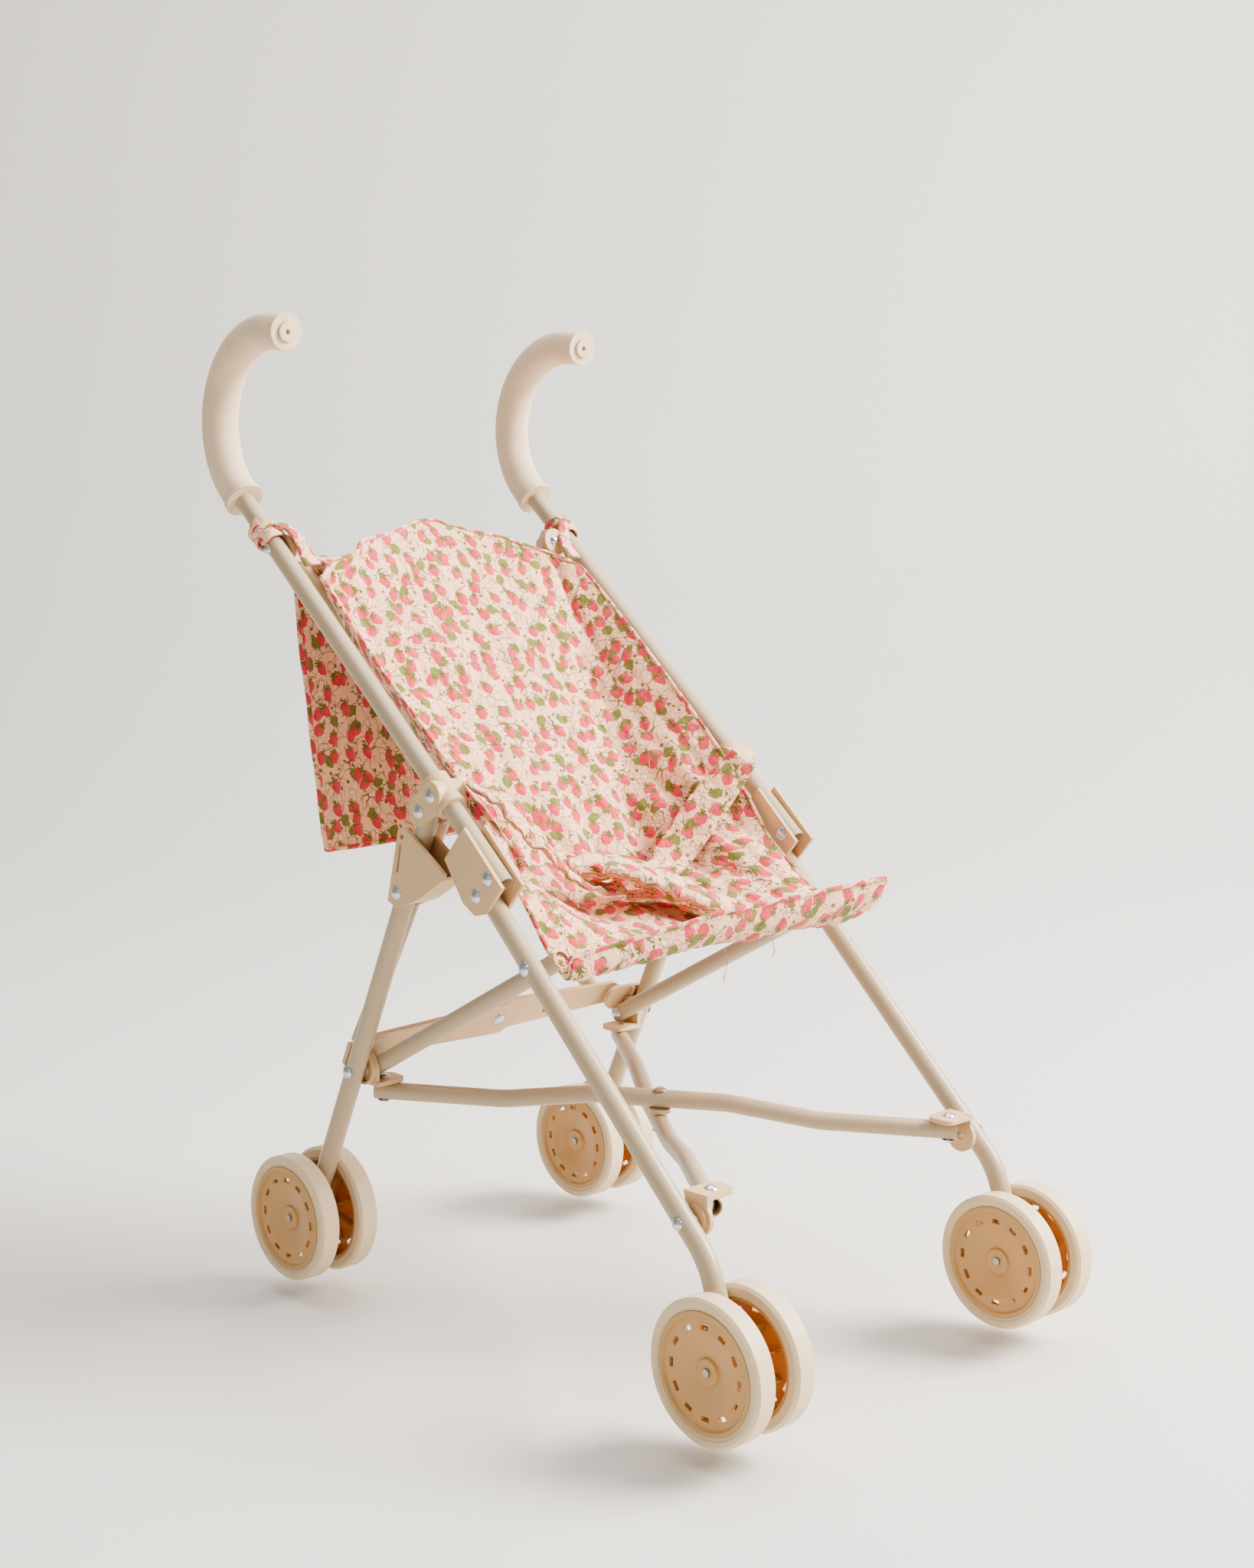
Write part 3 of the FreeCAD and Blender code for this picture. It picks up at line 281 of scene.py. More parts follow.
    # strawberries: body, seeds, crown of sepals and a short stalk
    for cell, offset, size in ((13.6, (0.0, 0.0, 0), 1.0), (31.0, (3.7, 8.2, 0), 0.9)):
        turned, x, y, chance = scattered(tree, place, cell, offset, 0.30, 0.62)
        x, y = calc(tree, "DIVIDE", x, size), calc(tree, "DIVIDE", y, size)
        taper = calc(tree, "ADD", calc(tree, "MULTIPLY", y, 0.055), 0.88)
        side = calc(tree, "DIVIDE", x, calc(tree, "MULTIPLY", taper, 3.9))
        tall = calc(tree, "DIVIDE", y, 4.3)
        round_off = calc(tree, "ADD", calc(tree, "MULTIPLY", side, side), calc(tree, "MULTIPLY", tall, tall))
        body = inside(tree, round_off, 1.0, 0.06)
        shade = ramp(tree, calc(tree, "ADD", side, calc(tree, "MULTIPLY", tall, 0.5)), -1.0, 1.2)
        red = blend_colour(tree, shade, srgb(212, 66, 78), srgb(234, 104, 108))
        red = blend_colour(tree, ramp(tree, chance.outputs[1], 0.0, 1.0, 0.0, 0.45), red, srgb(228, 84, 94))
        seeds = add(tree, "ShaderNodeTexVoronoi", {"Vector": turned, "Scale": 0.75, "Randomness": 0.35},
                    voronoi_dimensions="2D").outputs["Distance"]
        dots = calc(tree, "MULTIPLY", inside(tree, seeds, 0.20, 0.06), 0.6)
        red = blend_colour(tree, dots, red, srgb(160, 46, 54))
        colour = blend_colour(tree, body, colour, red)
        up = calc(tree, "SUBTRACT", y, 3.7)
        bearing = calc(tree, "ARCTAN2", up, x)
        star = calc(tree, "ADD", calc(tree, "COSINE", calc(tree, "MULTIPLY", bearing, 6.0)), 1.9)
        far = calc(tree, "ADD", calc(tree, "MULTIPLY", x, x), calc(tree, "MULTIPLY", up, up))
        far = calc(tree, "SQRT", far)
        sepals = inside(tree, calc(tree, "SUBTRACT", far, star), 0.0, 0.15)
        stalk = calc(tree, "MULTIPLY", inside(tree, calc(tree, "ABSOLUTE", x), 0.24, 0.1),
                     inside(tree, calc(tree, "ABSOLUTE", calc(tree, "SUBTRACT", up, 1.8)), 2.0, 0.1))
        colour = blend_colour(tree, calc(tree, "MAXIMUM", sepals, stalk), colour, srgb(112, 110, 52))
    tree.links.new(colour, out.inputs["Color"])
    return tree


tone_drift = make_tone_drift()
edge_finder = make_edge_finder()
fine_grain = make_fine_grain()
handling_marks = make_handling_marks()
cotton_weave = make_cotton_weave()
berry_print = make_berry_print()


# ---- finishes -----------------------------------------------------------------------
def finish(name, colour, roughness, drift=(30.0, 0.06), grain=(900.0, 0.0, 0.00004),
           edge=(0.0006, None, 0.0), marks=0.1, **fixed):
    """A hard finish. grain is (scale, share of cells, depth); edge is (radius, colour, share), where the
    colour is painted edge light and shade laid over the edges.
    """
    material = bpy.data.materials.new(name)
    material.use_nodes = True
    tree = material.node_tree
    shader = tree.nodes["Principled BSDF"]
    edges = use(tree, edge_finder, Radius=edge[0])
    tone = use(tree, tone_drift, Color=colour, Scale=drift[0], Amount=drift[1]).outputs["Color"]
    # painted edge light and shade: the edge colour is blended in along edges and creases as a painted
    # highlight or painted shade
    if edge[1]:
        tone = blend_colour(tree, calc(tree, "MULTIPLY", edges.outputs["Mask"], edge[2]), tone, edge[1])
    rubbed = use(tree, handling_marks, Amount=marks).outputs["Offset"]
    height = use(tree, fine_grain, Scale=grain[0], Cells=grain[1]).outputs["Height"]
    bump = add(tree, "ShaderNodeBump", {"Height": height, "Strength": 1.0, "Distance": grain[2],
                                        "Normal": edges.outputs["Normal"]})
    tree.links.new(tone, shader.inputs["Base Color"])
    tree.links.new(calc(tree, "ADD", rubbed, roughness, clamp=True), shader.inputs["Roughness"])
    tree.links.new(bump.outputs["Normal"], shader.inputs["Normal"])
    for label, value in fixed.items():
        shader.inputs[label.replace("_", " ")].default_value = value
    return material


def cloth_finish(name):
    material = bpy.data.materials.new(name)
    material.use_nodes = True
    tree = material.node_tree
    shader = tree.nodes["Principled BSDF"]
    flat = add(tree, "ShaderNodeUVMap", uv_map="cloth").outputs[0]
    place = vec(tree, "MULTIPLY", flat, (1000.0, 1000.0, 0))
    printed = use(tree, berry_print, Vector=place).outputs["Color"]
    weave = use(tree, cotton_weave, Vector=place)
    # the print is darkened by the painted shade of the weave relief and by the slub tone
    colour = add(tree, "ShaderNodeVectorMath", {0: printed, "Scale": weave.outputs["Painted Shade And Slub"]},
                 operation="SCALE").outputs[0]
    crumple = add(tree, "ShaderNodeTexNoise", {"Vector": place, "Scale": 0.22, "Detail": 5.0,
                                               "Distortion": 0.8}).outputs["Fac"]
    coarse = add(tree, "ShaderNodeBump", {"Height": crumple, "Strength": 0.75, "Distance": 0.0012})
    fine = add(tree, "ShaderNodeBump", {"Height": weave.outputs["Height"], "Strength": 0.5,
                                        "Distance": 0.00008, "Normal": coarse.outputs["Normal"]})
    tree.links.new(colour, shader.inputs["Base Color"])
    tree.links.new(fine.outputs["Normal"], shader.inputs["Normal"])
    tree.links.new(ramp(tree, weave.outputs["Painted Shade And Slub"], 0.86, 1.12, 0.82, 0.95), shader.inputs["Roughness"])
    shader.inputs["Sheen Weight"].default_value = 0.25
    shader.inputs["Sheen Roughness"].default_value = 0.5
    shader.inputs["Specular IOR Level"].default_value = 0.25
    return material


# edge colours are painted light and shade: the lighter ones on the frame paint, foam grips and tyres are
# painted highlights, and the darker ones on the rivets and axle are painted shade
# the amber edges of the wheels and brackets are painted translucency, the deeper colour of light passing
# through the plastic, over its own beige-amber tint
amber = srgb(196, 142, 84)
finishes = {
    "frame_paint": finish("frame_paint", srgb(188, 168, 138), 0.34, (14.0, 0.035), (700.0, 0.0, 0.00003),
                          (0.0004, srgb(222, 212, 190), 0.3), 0.12, Coat_Weight=0.12, Coat_Roughness=0.2),
    "grip_foam": finish("grip_foam", srgb(228, 204, 174), 0.9, (60.0, 0.10), (1500.0, 0.7, 0.00016),
                        (0.0009, srgb(230, 208, 176), 0.3), 0.05, Sheen_Weight=0.15, Specular_IOR_Level=0.3),
    "plug_plastic": finish("plug_plastic", srgb(232, 224, 208), 0.5, (30.0, 0.05)),
    "rivet_steel": finish("rivet_steel", srgb(214, 216, 220), 0.24, (90.0, 0.06), (1600.0, 0.2, 0.00003),
                          (0.0003, srgb(120, 116, 110), 0.4), 0.2, Metallic=1.0),
    "axle_steel": finish("axle_steel", srgb(176, 172, 166), 0.34, (90.0, 0.10), (1600.0, 0.2, 0.00004),
                         (0.0003, srgb(90, 84, 76), 0.5), 0.2, Metallic=1.0),
    "tyre_cream": finish("tyre_cream", srgb(224, 202, 168), 0.5, (24.0, 0.04), (1100.0, 0.2, 0.00004),
                         (0.0008, srgb(240, 226, 198), 0.4), 0.12, Subsurface_Weight=0.12,
                         Subsurface_Scale=0.004),
    "wheel_amber": finish("wheel_amber", srgb(200, 158, 102), 0.36, (34.0, 0.08), (500.0, 0.1, 0.00005),
                          (0.0007, amber, 0.35), 0.15, Subsurface_Weight=0.35, Subsurface_Scale=0.006,
                          Coat_Weight=0.1),
    "bracket_plastic": finish("bracket_plastic", srgb(214, 184, 144), 0.42, (26.0, 0.05),
                              (800.0, 0.1, 0.00004),
                              (0.0007, amber, 0.42), 0.14, Subsurface_Weight=0.2, Subsurface_Scale=0.004),
}
printed_cotton = cloth_finish("printed_cotton")

slot_of = {entry["node"]: entry["material_slot"] for entry in frame["record"]["subparts"]}
for name, node_object in frame["nodes"].items():
    if slot_of[name] in finishes:
        node_object.data.materials.clear()
        node_object.data.materials.append(finishes[slot_of[name]])


# ---- sewn pieces --------------------------------------------------------------------
def on_handle(distance, front, x=0.0):
    """A point in mm by its distance up the handle tube and its height in front of it."""
    c, s = math.cos(HANDLE_ANGLE), math.sin(HANDLE_ANGLE)
    y = HANDLE_PIVOT[0] + distance * c - front * s
    z = HANDLE_PIVOT[1] + distance * s + front * c
    return np.array([x, y, z])


def through(points, count):
    """count points on a smooth curve through the given ones, evenly spaced by length."""
    points = np.asarray(points, float)
    flat = points.reshape(len(points), -1)
    steps = np.r_[0, np.cumsum(np.linalg.norm(np.diff(flat, axis=0), axis=1) ** 0.5)]
    slopes = np.gradient(flat, steps, axis=0)
    dense = np.linspace(0, steps[-1], count * 6)
    index = np.clip(np.searchsorted(steps, dense, side="right") - 1, 0, len(steps) - 2)
    span = (steps[index + 1] - steps[index])[:, None]
    t = ((dense - steps[index]) / span[:, 0])[:, None]
    p0, p1, m0, m1 = flat[index], flat[index + 1], slopes[index] * span, slopes[index + 1] * span
    curve = ((2 * t ** 3 - 3 * t ** 2 + 1) * p0 + (t ** 3 - 2 * t ** 2 + t) * m0
             + (-2 * t ** 3 + 3 * t ** 2) * p1 + (t ** 3 - t ** 2) * m1)
    length = np.r_[0, np.cumsum(np.linalg.norm(np.diff(curve, axis=0), axis=1))]
    even = np.linspace(0, length[-1], count)
    smooth = np.stack([np.interp(even, length, column) for column in curve.T], axis=1)
    return smooth.reshape((count,) + points.shape[1:])


def ripple(place, scale, seed):
    """Smooth noise from -1 to 1 at each point, given in mm."""
    shape = place.shape[:-1]
    flat = place.reshape(-1, 3) / scale
    values = [noise.noise(Vector((p[0] + seed, p[1] - seed, p[2] + 2 * seed))) for p in flat]
    return np.array(values).reshape(shape)


def normals_of(grid):
    along = np.gradient(grid, axis=0)
    across = np.gradient(grid, axis=1)
    facing = np.cross(across, along)
    return facing / np.maximum(np.linalg.norm(facing, axis=2, keepdims=True), 1e-9)


def arc_lengths(grid, axis):
    steps = np.linalg.norm(np.diff(grid, axis=axis), axis=2)
    pad = [(0, 0), (0, 0)]
    pad[axis] = (1, 0)
    total = np.cumsum(np.pad(steps, pad), axis=axis)
    middle = total.shape[axis] // 2
    return total - np.take(total, [middle], axis=axis)


def mesh_object(name, points, faces, coordinates, material):
    """A mesh from points in mm, with each point's cloth coordinates in mm."""
    mesh = bpy.data.meshes.new(name)
    placed = (np.asarray(points) - np.array([0.0, ORIGIN_Y, 0.0])) * MM
    mesh.from_pydata(placed.tolist(), [], faces)
    layer = mesh.uv_layers.new(name="cloth")
    flat = np.asarray(coordinates) * MM
    for loop in mesh.loops:
        layer.data[loop.index].uv = flat[loop.vertex_index]
    mesh.polygons.foreach_set("use_smooth", [True] * len(mesh.polygons))
    mesh.materials.append(material)
    mesh.update()
    made = bpy.data.objects.new(name, mesh)
    bpy.context.scene.collection.objects.link(made)
    return made


def shell_arrays(grid, front, back, shift=(0.0, 0.0)):
    """Points, faces and cloth coordinates of a closed cloth shell about a grid."""
    rows, columns = grid.shape[:2]
    facing = normals_of(grid)
    top = grid + facing * front[..., None]
    low = grid - facing * back[..., None]
    u, v = arc_lengths(grid, 1), -arc_lengths(grid, 0)
    flat = np.stack([u + shift[0], v + shift[1]], axis=2).reshape(-1, 2)
    points = np.concatenate([top.reshape(-1, 3), low.reshape(-1, 3)])
    coordinates = np.concatenate([flat, flat + np.array([40.0, 25.0])])
    count = rows * columns
    faces = []
    for i in range(rows - 1):
        for j in range(columns - 1):
            a = i * columns + j
            b, c, d = a + 1, a + columns + 1, a + columns
            faces.append((a, b, c, d))
            faces.append((count + d, count + c, count + b, count + a))
    rim = [(0, j) for j in range(columns)] + [(i, columns - 1) for i in range(1, rows)]
    rim += [(rows - 1, j) for j in range(columns - 2, -1, -1)] + [(i, 0) for i in range(rows - 2, 0, -1)]
    loop = [i * columns + j for i, j in rim]
    for first, second in zip(loop, loop[1:] + loop[:1]):
        faces.append((second, first, first + count, second + count))
    return points, faces, coordinates, [top[i, j] * 0.5 + low[i, j] * 0.5 for i, j in rim]


def tube_arrays(path, radius, sides=8, closed=False, shift=(0.0, 0.0)):
    """Points, faces and cloth coordinates of a soft round cord along a path."""
    path = np.asarray(path, float)
    ahead = np.roll(path, -1, axis=0) - np.roll(path, 1, axis=0) if closed else np.gradient(path, axis=0)
    ahead = ahead / np.linalg.norm(ahead, axis=1, keepdims=True)
    side = np.cross(ahead, np.array([0.13, 0.21, 0.97]))
    side = side / np.maximum(np.linalg.norm(side, axis=1, keepdims=True), 1e-6)
    up = np.cross(side, ahead)
    turn = np.linspace(0, 2 * math.pi, sides, endpoint=False)
    radius = np.broadcast_to(radius, (len(path),))
    ring = side[:, None] * np.cos(turn)[None, :, None] + up[:, None] * np.sin(turn)[None, :, None]
    points = (path[:, None] + ring * radius[:, None, None]).reshape(-1, 3)
    run = np.r_[0, np.cumsum(np.linalg.norm(np.diff(path, axis=0), axis=1))]
    both = np.broadcast_arrays((turn * 1.6)[None, :] + shift[0], run[:, None] + shift[1])
    coordinates = np.stack(both, axis=2)
    faces = []
    last = len(path) if closed else len(path) - 1
    for i in range(last):
        k = (i + 1) % len(path)
        for j in range(sides):
            m = (j + 1) % sides
            faces.append((i * sides + j, i * sides + m, k * sides + m, k * sides + j))
    if not closed:
        faces.append(tuple(range(sides))[::-1])
        faces.append(tuple((len(path) - 1) * sides + j for j in range(sides)))
    return points, faces, coordinates.reshape(-1, 2)


def joined(parts):
    """Several (points, faces, coordinates) as one."""
    points, faces, coordinates, start = [], [], [], 0
    for part in parts:
        points.append(part[0])
        faces += [tuple(index + start for index in face) for face in part[1]]
        coordinates.append(part[2])
        start += len(part[0])
    return np.concatenate(points), faces, np.concatenate(coordinates)


def channel_puff(across, spacing=CHANNEL, height=1.9):
    """Height of the sewn channels at a distance across the cloth, in mm."""
    return height * np.abs(np.sin(math.pi * across / spacing)) ** 0.55


def ease(value, low, high):
    t = np.clip((value - low) / (high - low), 0, 1)
    return t * t * (3 - 2 * t)


def sling_grid(rows=190, columns=170):
    """Middle surface of the back and seat, from the crown down and out to the front lip."""
    stations = [
        # near edge, middle, far edge, where the side wing starts
        (on_handle(224, 4, -99), on_handle(250, 4), on_handle(224, 4, 99), 0.90),
        (on_handle(210, 5, -100), on_handle(226, -5), on_handle(210, 5, 100), 0.86),
        (on_handle(178, 5, -101), on_handle(192, -14), on_handle(178, 5, 101), 0.82),
        (on_handle(140, 5, -101), on_handle(150, -24), on_handle(140, 5, 101), 0.74),
        (on_handle(100, 5, -100), on_handle(104, -32), on_handle(100, 5, 100), 0.64),
        (on_handle(62, 4, -98), on_handle(58, -39), on_handle(62, 4, 99), 0.50),
        (np.array([-97, 16, 268]), np.array([0, 42, 229]), np.array([98, 16, 268]), 0.40),
        (np.array([-97, -4, 240]), np.array([0, 2, 216]), np.array([98, -4, 244]), 0.36),
        (np.array([-98, -24, 216]), np.array([0, -34, 209]), np.array([98, -34, 222]), 0.30),
        (np.array([-98, -38, 203]), np.array([0, -56, 209]), np.array([96, -66, 214]), 0.1),
        (np.array([-99, -43, 205]), np.array([0, -66, 217]), np.array([99, -78, 223]), 0.0),
        (np.array([-99, -44, 212]), np.array([0, -70, 228]), np.array([102, -84, 234]), 0.0),
    ]
    u = np.linspace(-1, 1, columns)
    lines = []
    for near, middle, far, start in stations:
        reach = np.abs(u)
        weight = np.clip((reach - start) / (1 - start), 0, 1)
        weight = np.where(weight < 0.18, weight ** 2 / 0.36, weight - 0.09) / 0.91
        side = np.where(u[:, None] < 0, near, far)
        line = middle + (side - middle) * weight[:, None]
        line[:, 0] = side[:, 0] * reach
        lines.append(line)
    # the crown rises in steps from both corners to a peak just past the middle
    reach = np.interp(u * 99.0, [-99, -93, -86, -63, -54, -27, -4, 9, 34, 55, 69, 85, 99],
                      [222, 226, 236, 241, 252, 258, 268, 270, 259, 252, 244, 236, 224])
    reach = np.convolve(np.pad(reach, 3, mode="edge"), np.ones(7) / 7, mode="valid")
    lines[0] = np.array([on_handle(d, 4.5, 99.0 * k) for d, k in zip(reach, u)])
    return through(np.stack(lines), rows), u


def make_sling():
    grid, u = sling_grid()
    rows, columns = grid.shape[:2]
    facing = normals_of(grid)
    across = arc_lengths(grid, 1)
    v = np.linspace(0, 1, rows)[:, None] * np.ones((1, columns))
    edge = np.minimum(np.minimum(v, 1 - v) * 12, (1 - np.abs(u))[None, :] * 8)
    loose = ease(edge, 0.0, 1.0)
    folds = 3.0 * ripple(grid, 34.0, 3.0) + 1.4 * ripple(grid * [1.0, 0.5, 0.5], 12.0, 8.0)
    pull = 2.2 * np.sin(across / 5.2 + 3 * ripple(grid, 40.0, 5.0))
    pull = pull * ease(v, 0.46, 0.58) * ease(-v, -0.82, -0.66)
    grid = grid + facing * ((folds + pull) * (0.25 + 0.75 * loose))[..., None]
    slack = 0.5 * ripple(grid * [2.2, 1.0, 1.0], 5.5, 21.0)
    puff = channel_puff(across) * (0.55 + 0.45 * ease(np.abs(u), 0.45, 0.7))[None, :]
    pucker = 0.35 * np.sin(2 * math.pi * arc_lengths(grid, 0) / 4.2 + 5 * ripple(grid, 9.0, 2.0))
    pucker = pucker * ease(-np.abs(np.sin(math.pi * across / CHANNEL)), -0.6, 0.0)
    roll = 2.2 * np.sin(math.pi * np.clip((v - 0.925) / 0.07, 0, 1)) ** 0.7
    height = (puff + pucker + slack) * loose + roll + 0.7
    body = shell_arrays(grid, np.maximum(height, 0.35), np.maximum(height * 0.8, 0.35))
    piping = tube_arrays(through(np.array(body[3]), 700), 1.35, 8, True)
    threads = [tube_arrays([(x, -63, 206), (x + 1, -64, 199), (x - 1, -63, 192 - drop)], 0.25, 6)
               for x, drop in ((-6, 4), (31, -4))]
    points, faces, coordinates = joined([body[:3], piping] + threads)
    made = mesh_object("seat_sling_cloth", points, faces, coordinates, printed_cotton)
    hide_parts("seat_sling")
    return made


def make_rear_panel():
    """Quilted panel hanging behind the back, joined to it by a strip at the top."""
    rows, columns = 110, 120
    u = np.linspace(-1, 1, columns)
    lines = []
    for y, z, half, bow in ((184, 409, 78, 0), (195, 411, 82, 2), (203, 402, 84, 5), (200, 360, 85, 8),
                            (193, 310, 85, 9), (186, 265, 85, 7), (182, 243, 84, 3)):
        line = np.stack([u * half, y + bow * (1 - u ** 2), z + 0 * u], axis=1)
        lines.append(line)
    grid = through(np.stack(lines), rows)
    v = np.linspace(0, 1, rows)[:, None] * np.ones((1, columns))
    facing = normals_of(grid)
    across = arc_lengths(grid, 1)
    loose = ease(np.minimum(np.minimum(v, 1 - v) * 10, (1 - np.abs(u))[None, :] * 9), 0, 1)
    hang = 2.6 * np.sin(u * 7.5 + 0.8)[None, :] * ease(v, 0.35, 1.0) + 2.2 * ripple(grid, 38.0, 14.0)
    grid = grid + facing * hang[..., None]
    height = 0.7 + (channel_puff(across, 13.0, 1.3) + 0.5 * ripple(grid * [2, 1, 1], 6.0, 4.0)) * loose
    body = shell_arrays(grid, np.maximum(height, 0.35), np.maximum(height, 0.35), (130.0, 60.0))
    piping = tube_arrays(through(np.array(body[3]), 500), 1.5, 8, True)
    points, faces, coordinates = joined([body[:3], piping])
    made = mesh_object("rear_panel_cloth", points, faces, coordinates, printed_cotton)
    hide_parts("rear_panel")
    return made


def ribbon(path, widths, up, thick=0.9, puff=0.6, rows=90, columns=15, ruffle=0.0, seed=1.0, shift=(0, 0)):
    """A padded strap along a path of (x, y, z) mm, with its width and its face at each point."""
    line = through(np.array(path, float), rows)
    t = np.linspace(0, len(path) - 1, rows)
    width = np.interp(t, np.arange(len(widths)), widths)
    face = np.stack([np.interp(t, np.arange(len(up)), np.array(up, float)[:, k]) for k in range(3)], axis=1)
    ahead = np.gradient(line, axis=0)
    ahead = ahead / np.linalg.norm(ahead, axis=1, keepdims=True)
    side = np.cross(ahead, face)
    side = side / np.maximum(np.linalg.norm(side, axis=1, keepdims=True), 1e-6)
    face = np.cross(side, ahead)
    s = np.linspace(-1, 1, columns)
    grid = line[:, None] + side[:, None] * (s[None, :, None] * width[:, None, None] / 2)
    lift = ruffle * ripple(grid, 7.0, seed) * np.abs(s)[None, :] + 0.8 * ripple(grid, 13.0, seed + 3)
    grid = grid + face[:, None] * lift[..., None]
    swell = thick + puff * np.sqrt(np.clip(1 - s ** 4, 0, 1))[None, :] * np.ones((rows, 1))
    swell = swell + 0.25 * ripple(grid, 3.5, seed + 9)
    return shell_arrays(grid, np.maximum(swell, 0.3), np.maximum(swell, 0.3), shift)[:3]


def make_belt():
    """Waist belt in two halves, knotted over a short crotch strap."""
    near = ribbon([(-100, 34, 296), (-90, 25, 288), (-76, 20, 277), (-60, 21, 261), (-44, 19, 245),
                   (-28, 14, 234), (-12, 8, 231)],
                  [15, 21, 23, 22, 20, 17, 14],
                  [(0.5, -0.4, 0.8), (0.6, -0.6, 0.4), (0.1, -0.8, 0.5), (0.0, -0.4, 0.9), (0.2, -0.5, 0.9),
                   (0, -0.3, 1), (0, -0.2, 1)],
                  0.7, 0.9, 120, 17, 3.6, 4.0, (20, 15))
    far = ribbon([(99, 22, 293), (89, 26, 281), (74, 29, 265), (58, 31, 248), (42, 29, 236), (26, 23, 231),
                  (12, 14, 230)],
                 [17, 21, 23, 23, 21, 18, 14],
                 [(-0.5, -0.7, 0.3), (-0.5, -0.7, 0.4), (-0.4, -0.7, 0.5), (-0.3, -0.6, 0.7),
                  (-0.1, -0.5, 0.9), (0, -0.3, 1), (0, -0.3, 1)],
                 0.8, 1.1, 100, 15, 1.4, 9.0, (75, 45))
    knot = ribbon([(-40, 22, 244), (-26, 16, 245), (-6, 4, 240), (12, -6, 231), (28, -14, 222),
                   (44, -22, 215)],
                  [13, 22, 27, 26, 23, 15],
                  [(-0.5, -0.2, 0.8), (-0.2, -0.3, 1), (0, -0.3, 1), (0.1, -0.4, 0.9), (0.3, -0.5, 0.8),
                   (0.3, -0.4, 0.8)],
                  1.6, 3.2, 90, 21, 3.0, 15.0, (160, 80))
    strap = ribbon([(-4, 14, 226), (10, 1, 226), (24, -12, 219), (38, -28, 214), (48, -42, 213)],
                   [20, 22, 22, 20, 18],
                   [(0, 0, 1), (0, 0, 1), (0, -0.1, 1), (0, -0.1, 1), (0, -0.2, 1)],
                   0.9, 1.4, 70, 15, 1.5, 31.0, (210, 10))
    made = mesh_object("waist_belt_cloth", *joined([near, far, knot, strap]), printed_cotton)
    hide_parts("waist_belt")
    return made


def make_tie(side):
    """Tie loop on one handle tube: two turns round it and the tail sewn to the sling."""
    x = side * HANDLE_X
    turn = np.linspace(0, 4.25 * math.pi, 46)
    ring = []
    for k, a in enumerate(turn):
        radius = TUBE_R + 2.3 + 0.5 * math.sin(a * 2.3)
        centre = on_handle(257 + 12 * k / len(turn), 0, x)
        front = on_handle(0, 1) - on_handle(0, 0)
        ring.append(centre + radius * (math.cos(a) * np.array([side, 0, 0]) + math.sin(a) * front))
    outward = [p - on_handle(257 + 12 * k / len(turn), 0, x) for k, p in enumerate(ring)]
    wrap = ribbon(ring, [6.0, 7.0, 7.5, 6.5], outward, 0.5, 0.6, 160, 9, 0.8, 5.0 + side, (30, 90))
    tail = ribbon([on_handle(262, 9, x), on_handle(258, 10, x - side * 6),
                   on_handle(246, 7, x - side * 11), on_handle(233, 4, x - side * 12)],
                  [6, 7, 9, 12], [(0, -0.6, 0.8)] * 4, 0.5, 0.7, 40, 9, 0.8, 8.0 + side, (55, 20))
    name = "tie_loop_" + ("left" if side > 0 else "right")
    return mesh_object(name, *joined([wrap, tail]), printed_cotton)


sling = make_sling()
panel = make_rear_panel()
belt = make_belt()
ties = [make_tie(1), make_tie(-1)]
for piece, fill in ((sling, 0.25), (panel, 0.3), (belt, 0.3)):
    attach(piece, "handle_right")
    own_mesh(piece)
for tie, body in zip(ties, ("handle_left", "handle_right")):
    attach(tie, body)


# ---- stage, light and camera --------------------------------------------------------
def make_sweep():
    """Pale floor that curves up behind, lying along the view."""
    profile = [(-4.0, 0.0), (1.1, 0.0), (1.5, 0.03), (1.85, 0.14), (2.15, 0.38), (2.3, 0.75),
               (2.35, 1.2), (2.35, 4.5)]
    turned = Matrix.Rotation(CAMERA_TURN, 4, "Z")
    points, faces = [], []
    curve = through(np.array([(0.0, y, z) for y, z in profile]), 60)
    for p in curve:
        for x in (-5.0, 5.0):
            points.append(turned @ Vector((x, p[1], p[2] - 0.0002)))
    for i in range(len(curve) - 1):
        faces.append((2 * i, 2 * i + 1, 2 * i + 3, 2 * i + 2))
    mesh = bpy.data.meshes.new("floor")
    mesh.from_pydata([tuple(p) for p in points], [], faces)
    mesh.polygons.foreach_set("use_smooth", [True] * len(mesh.polygons))
    mesh.materials.append(finish("pale_floor", srgb(226, 222, 216), 0.6, (3.0, 0.01), marks=0.02))
    made = bpy.data.objects.new("floor", mesh)
    bpy.context.scene.collection.objects.link(made)


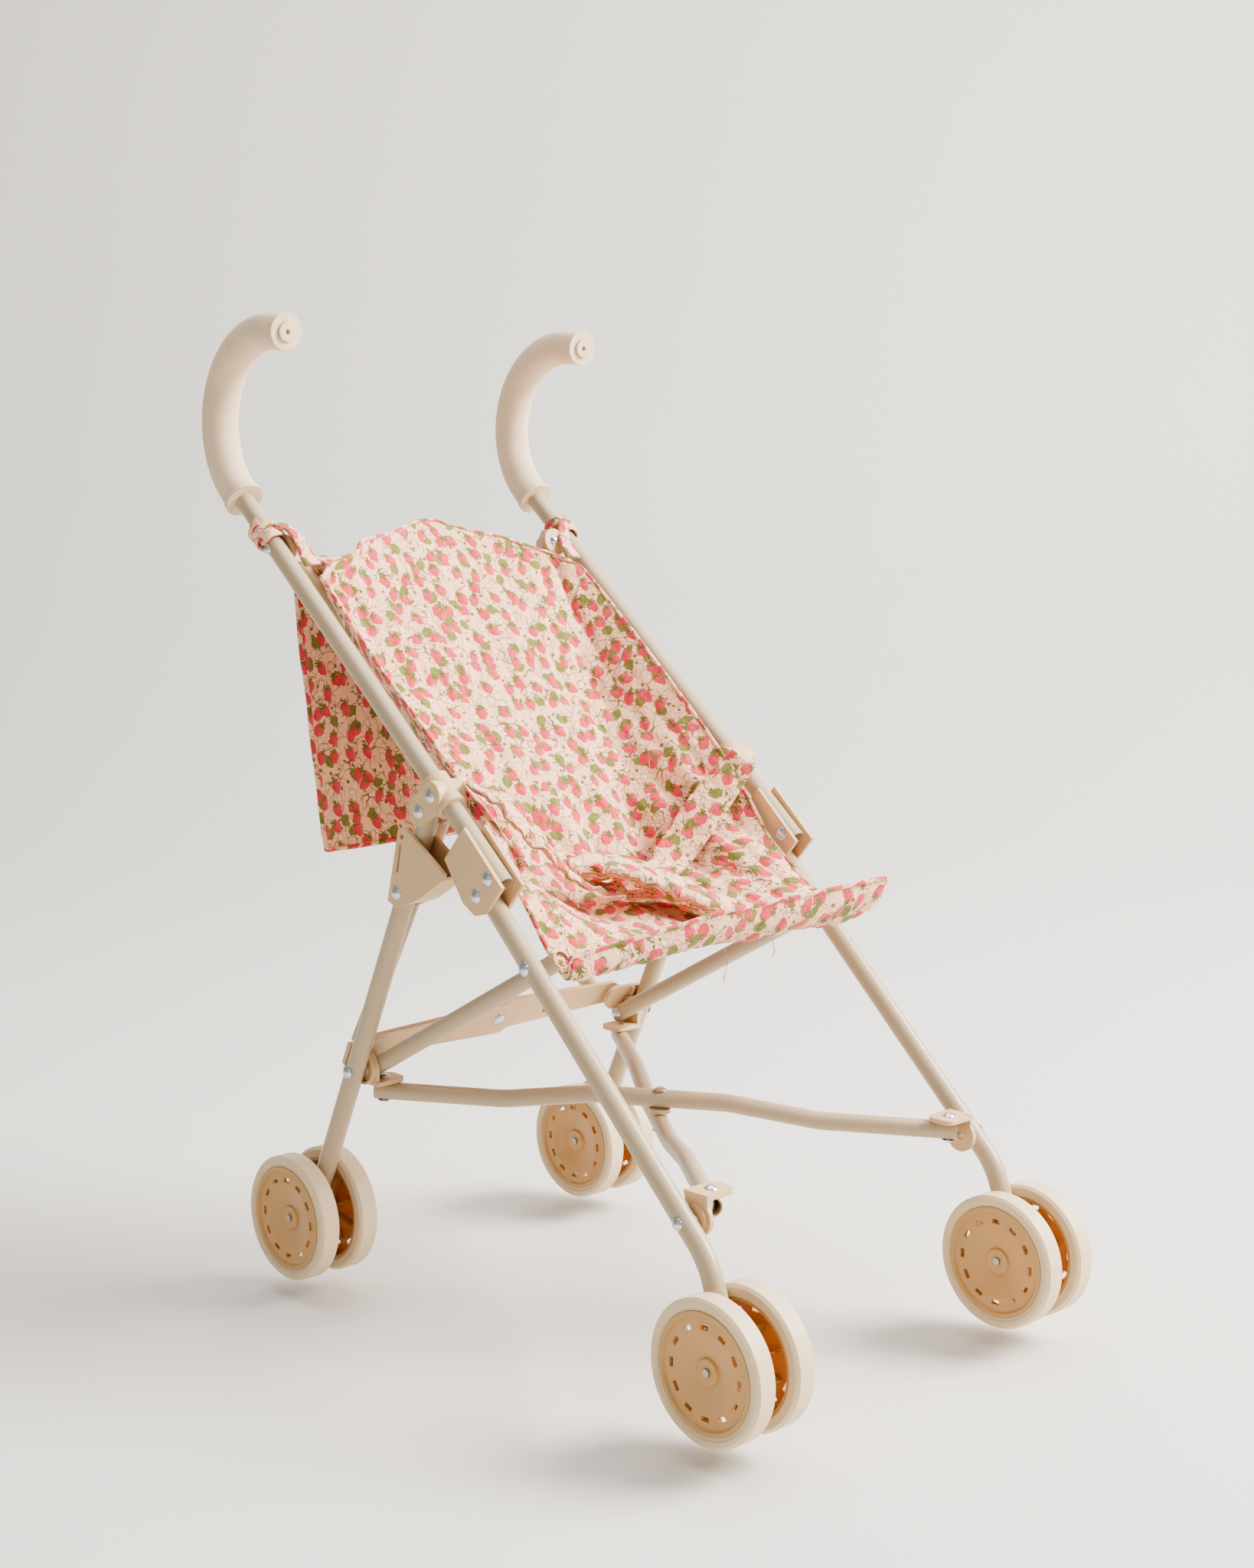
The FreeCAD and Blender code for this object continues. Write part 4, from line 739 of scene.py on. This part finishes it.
def area_light(name, place, target, size, power, colour):
    data = bpy.data.lights.new(name, "AREA")
    data.shape = "RECTANGLE"
    data.size, data.size_y = size
    data.energy = power
    data.color = colour
    made = bpy.data.objects.new(name, data)
    made.location = place
    made.rotation_euler = (Vector(target) - Vector(place)).to_track_quat("-Z", "Y").to_euler()
    bpy.context.scene.collection.objects.link(made)


CAMERA_PLACE = Vector((-0.8518, -0.8790 - ORIGIN_Y * MM, 0.4358))
CAMERA_TURN = math.radians(-43.56)
CAMERA_DROP = math.radians(6.86)
CAMERA_ROLL = math.radians(-0.64)

make_sweep()
area_light("window", (1.5, -1.5, 1.8), (0, 0, 0.25), (1.5, 1.4), 165, (1.0, 0.985, 0.96))
area_light("sky", (0.2, 0.3, 2.3), (0, 0, 0.2), (2.2, 2.2), 40, (0.97, 0.985, 1.0))
area_light("fill", (-1.9, -0.6, 0.9), (0, 0, 0.25), (1.4, 1.4), 2, (1.0, 0.93, 0.86))
world = bpy.data.worlds.new("studio")
world.use_nodes = True
world.node_tree.nodes["Background"].inputs["Color"].default_value = (0.92, 0.90, 0.88, 1)
world.node_tree.nodes["Background"].inputs["Strength"].default_value = 0.34
bpy.context.scene.world = world
bpy.context.scene.view_settings.look = "AgX - Medium High Contrast"
bpy.context.scene.view_settings.exposure = 0.15

lens = bpy.data.cameras.new("camera")
lens.lens = 51.8
lens.sensor_width = 36.0
lens.clip_start = 0.01
camera = bpy.data.objects.new("camera", lens)
away = Vector((math.sin(CAMERA_TURN) * math.cos(CAMERA_DROP), -math.cos(CAMERA_TURN) * math.cos(CAMERA_DROP),
               math.sin(CAMERA_DROP)))
right = (-away).cross(Vector((0, 0, 1))).normalized()
upward = right.cross(-away)
turned_right = right * math.cos(CAMERA_ROLL) + upward * math.sin(CAMERA_ROLL)
turned_up = upward * math.cos(CAMERA_ROLL) - right * math.sin(CAMERA_ROLL)
axes = Matrix((turned_right, turned_up, away)).transposed().to_4x4()
camera.matrix_world = Matrix.Translation(CAMERA_PLACE) @ axes
bpy.context.scene.collection.objects.link(camera)
bpy.context.scene.camera = camera
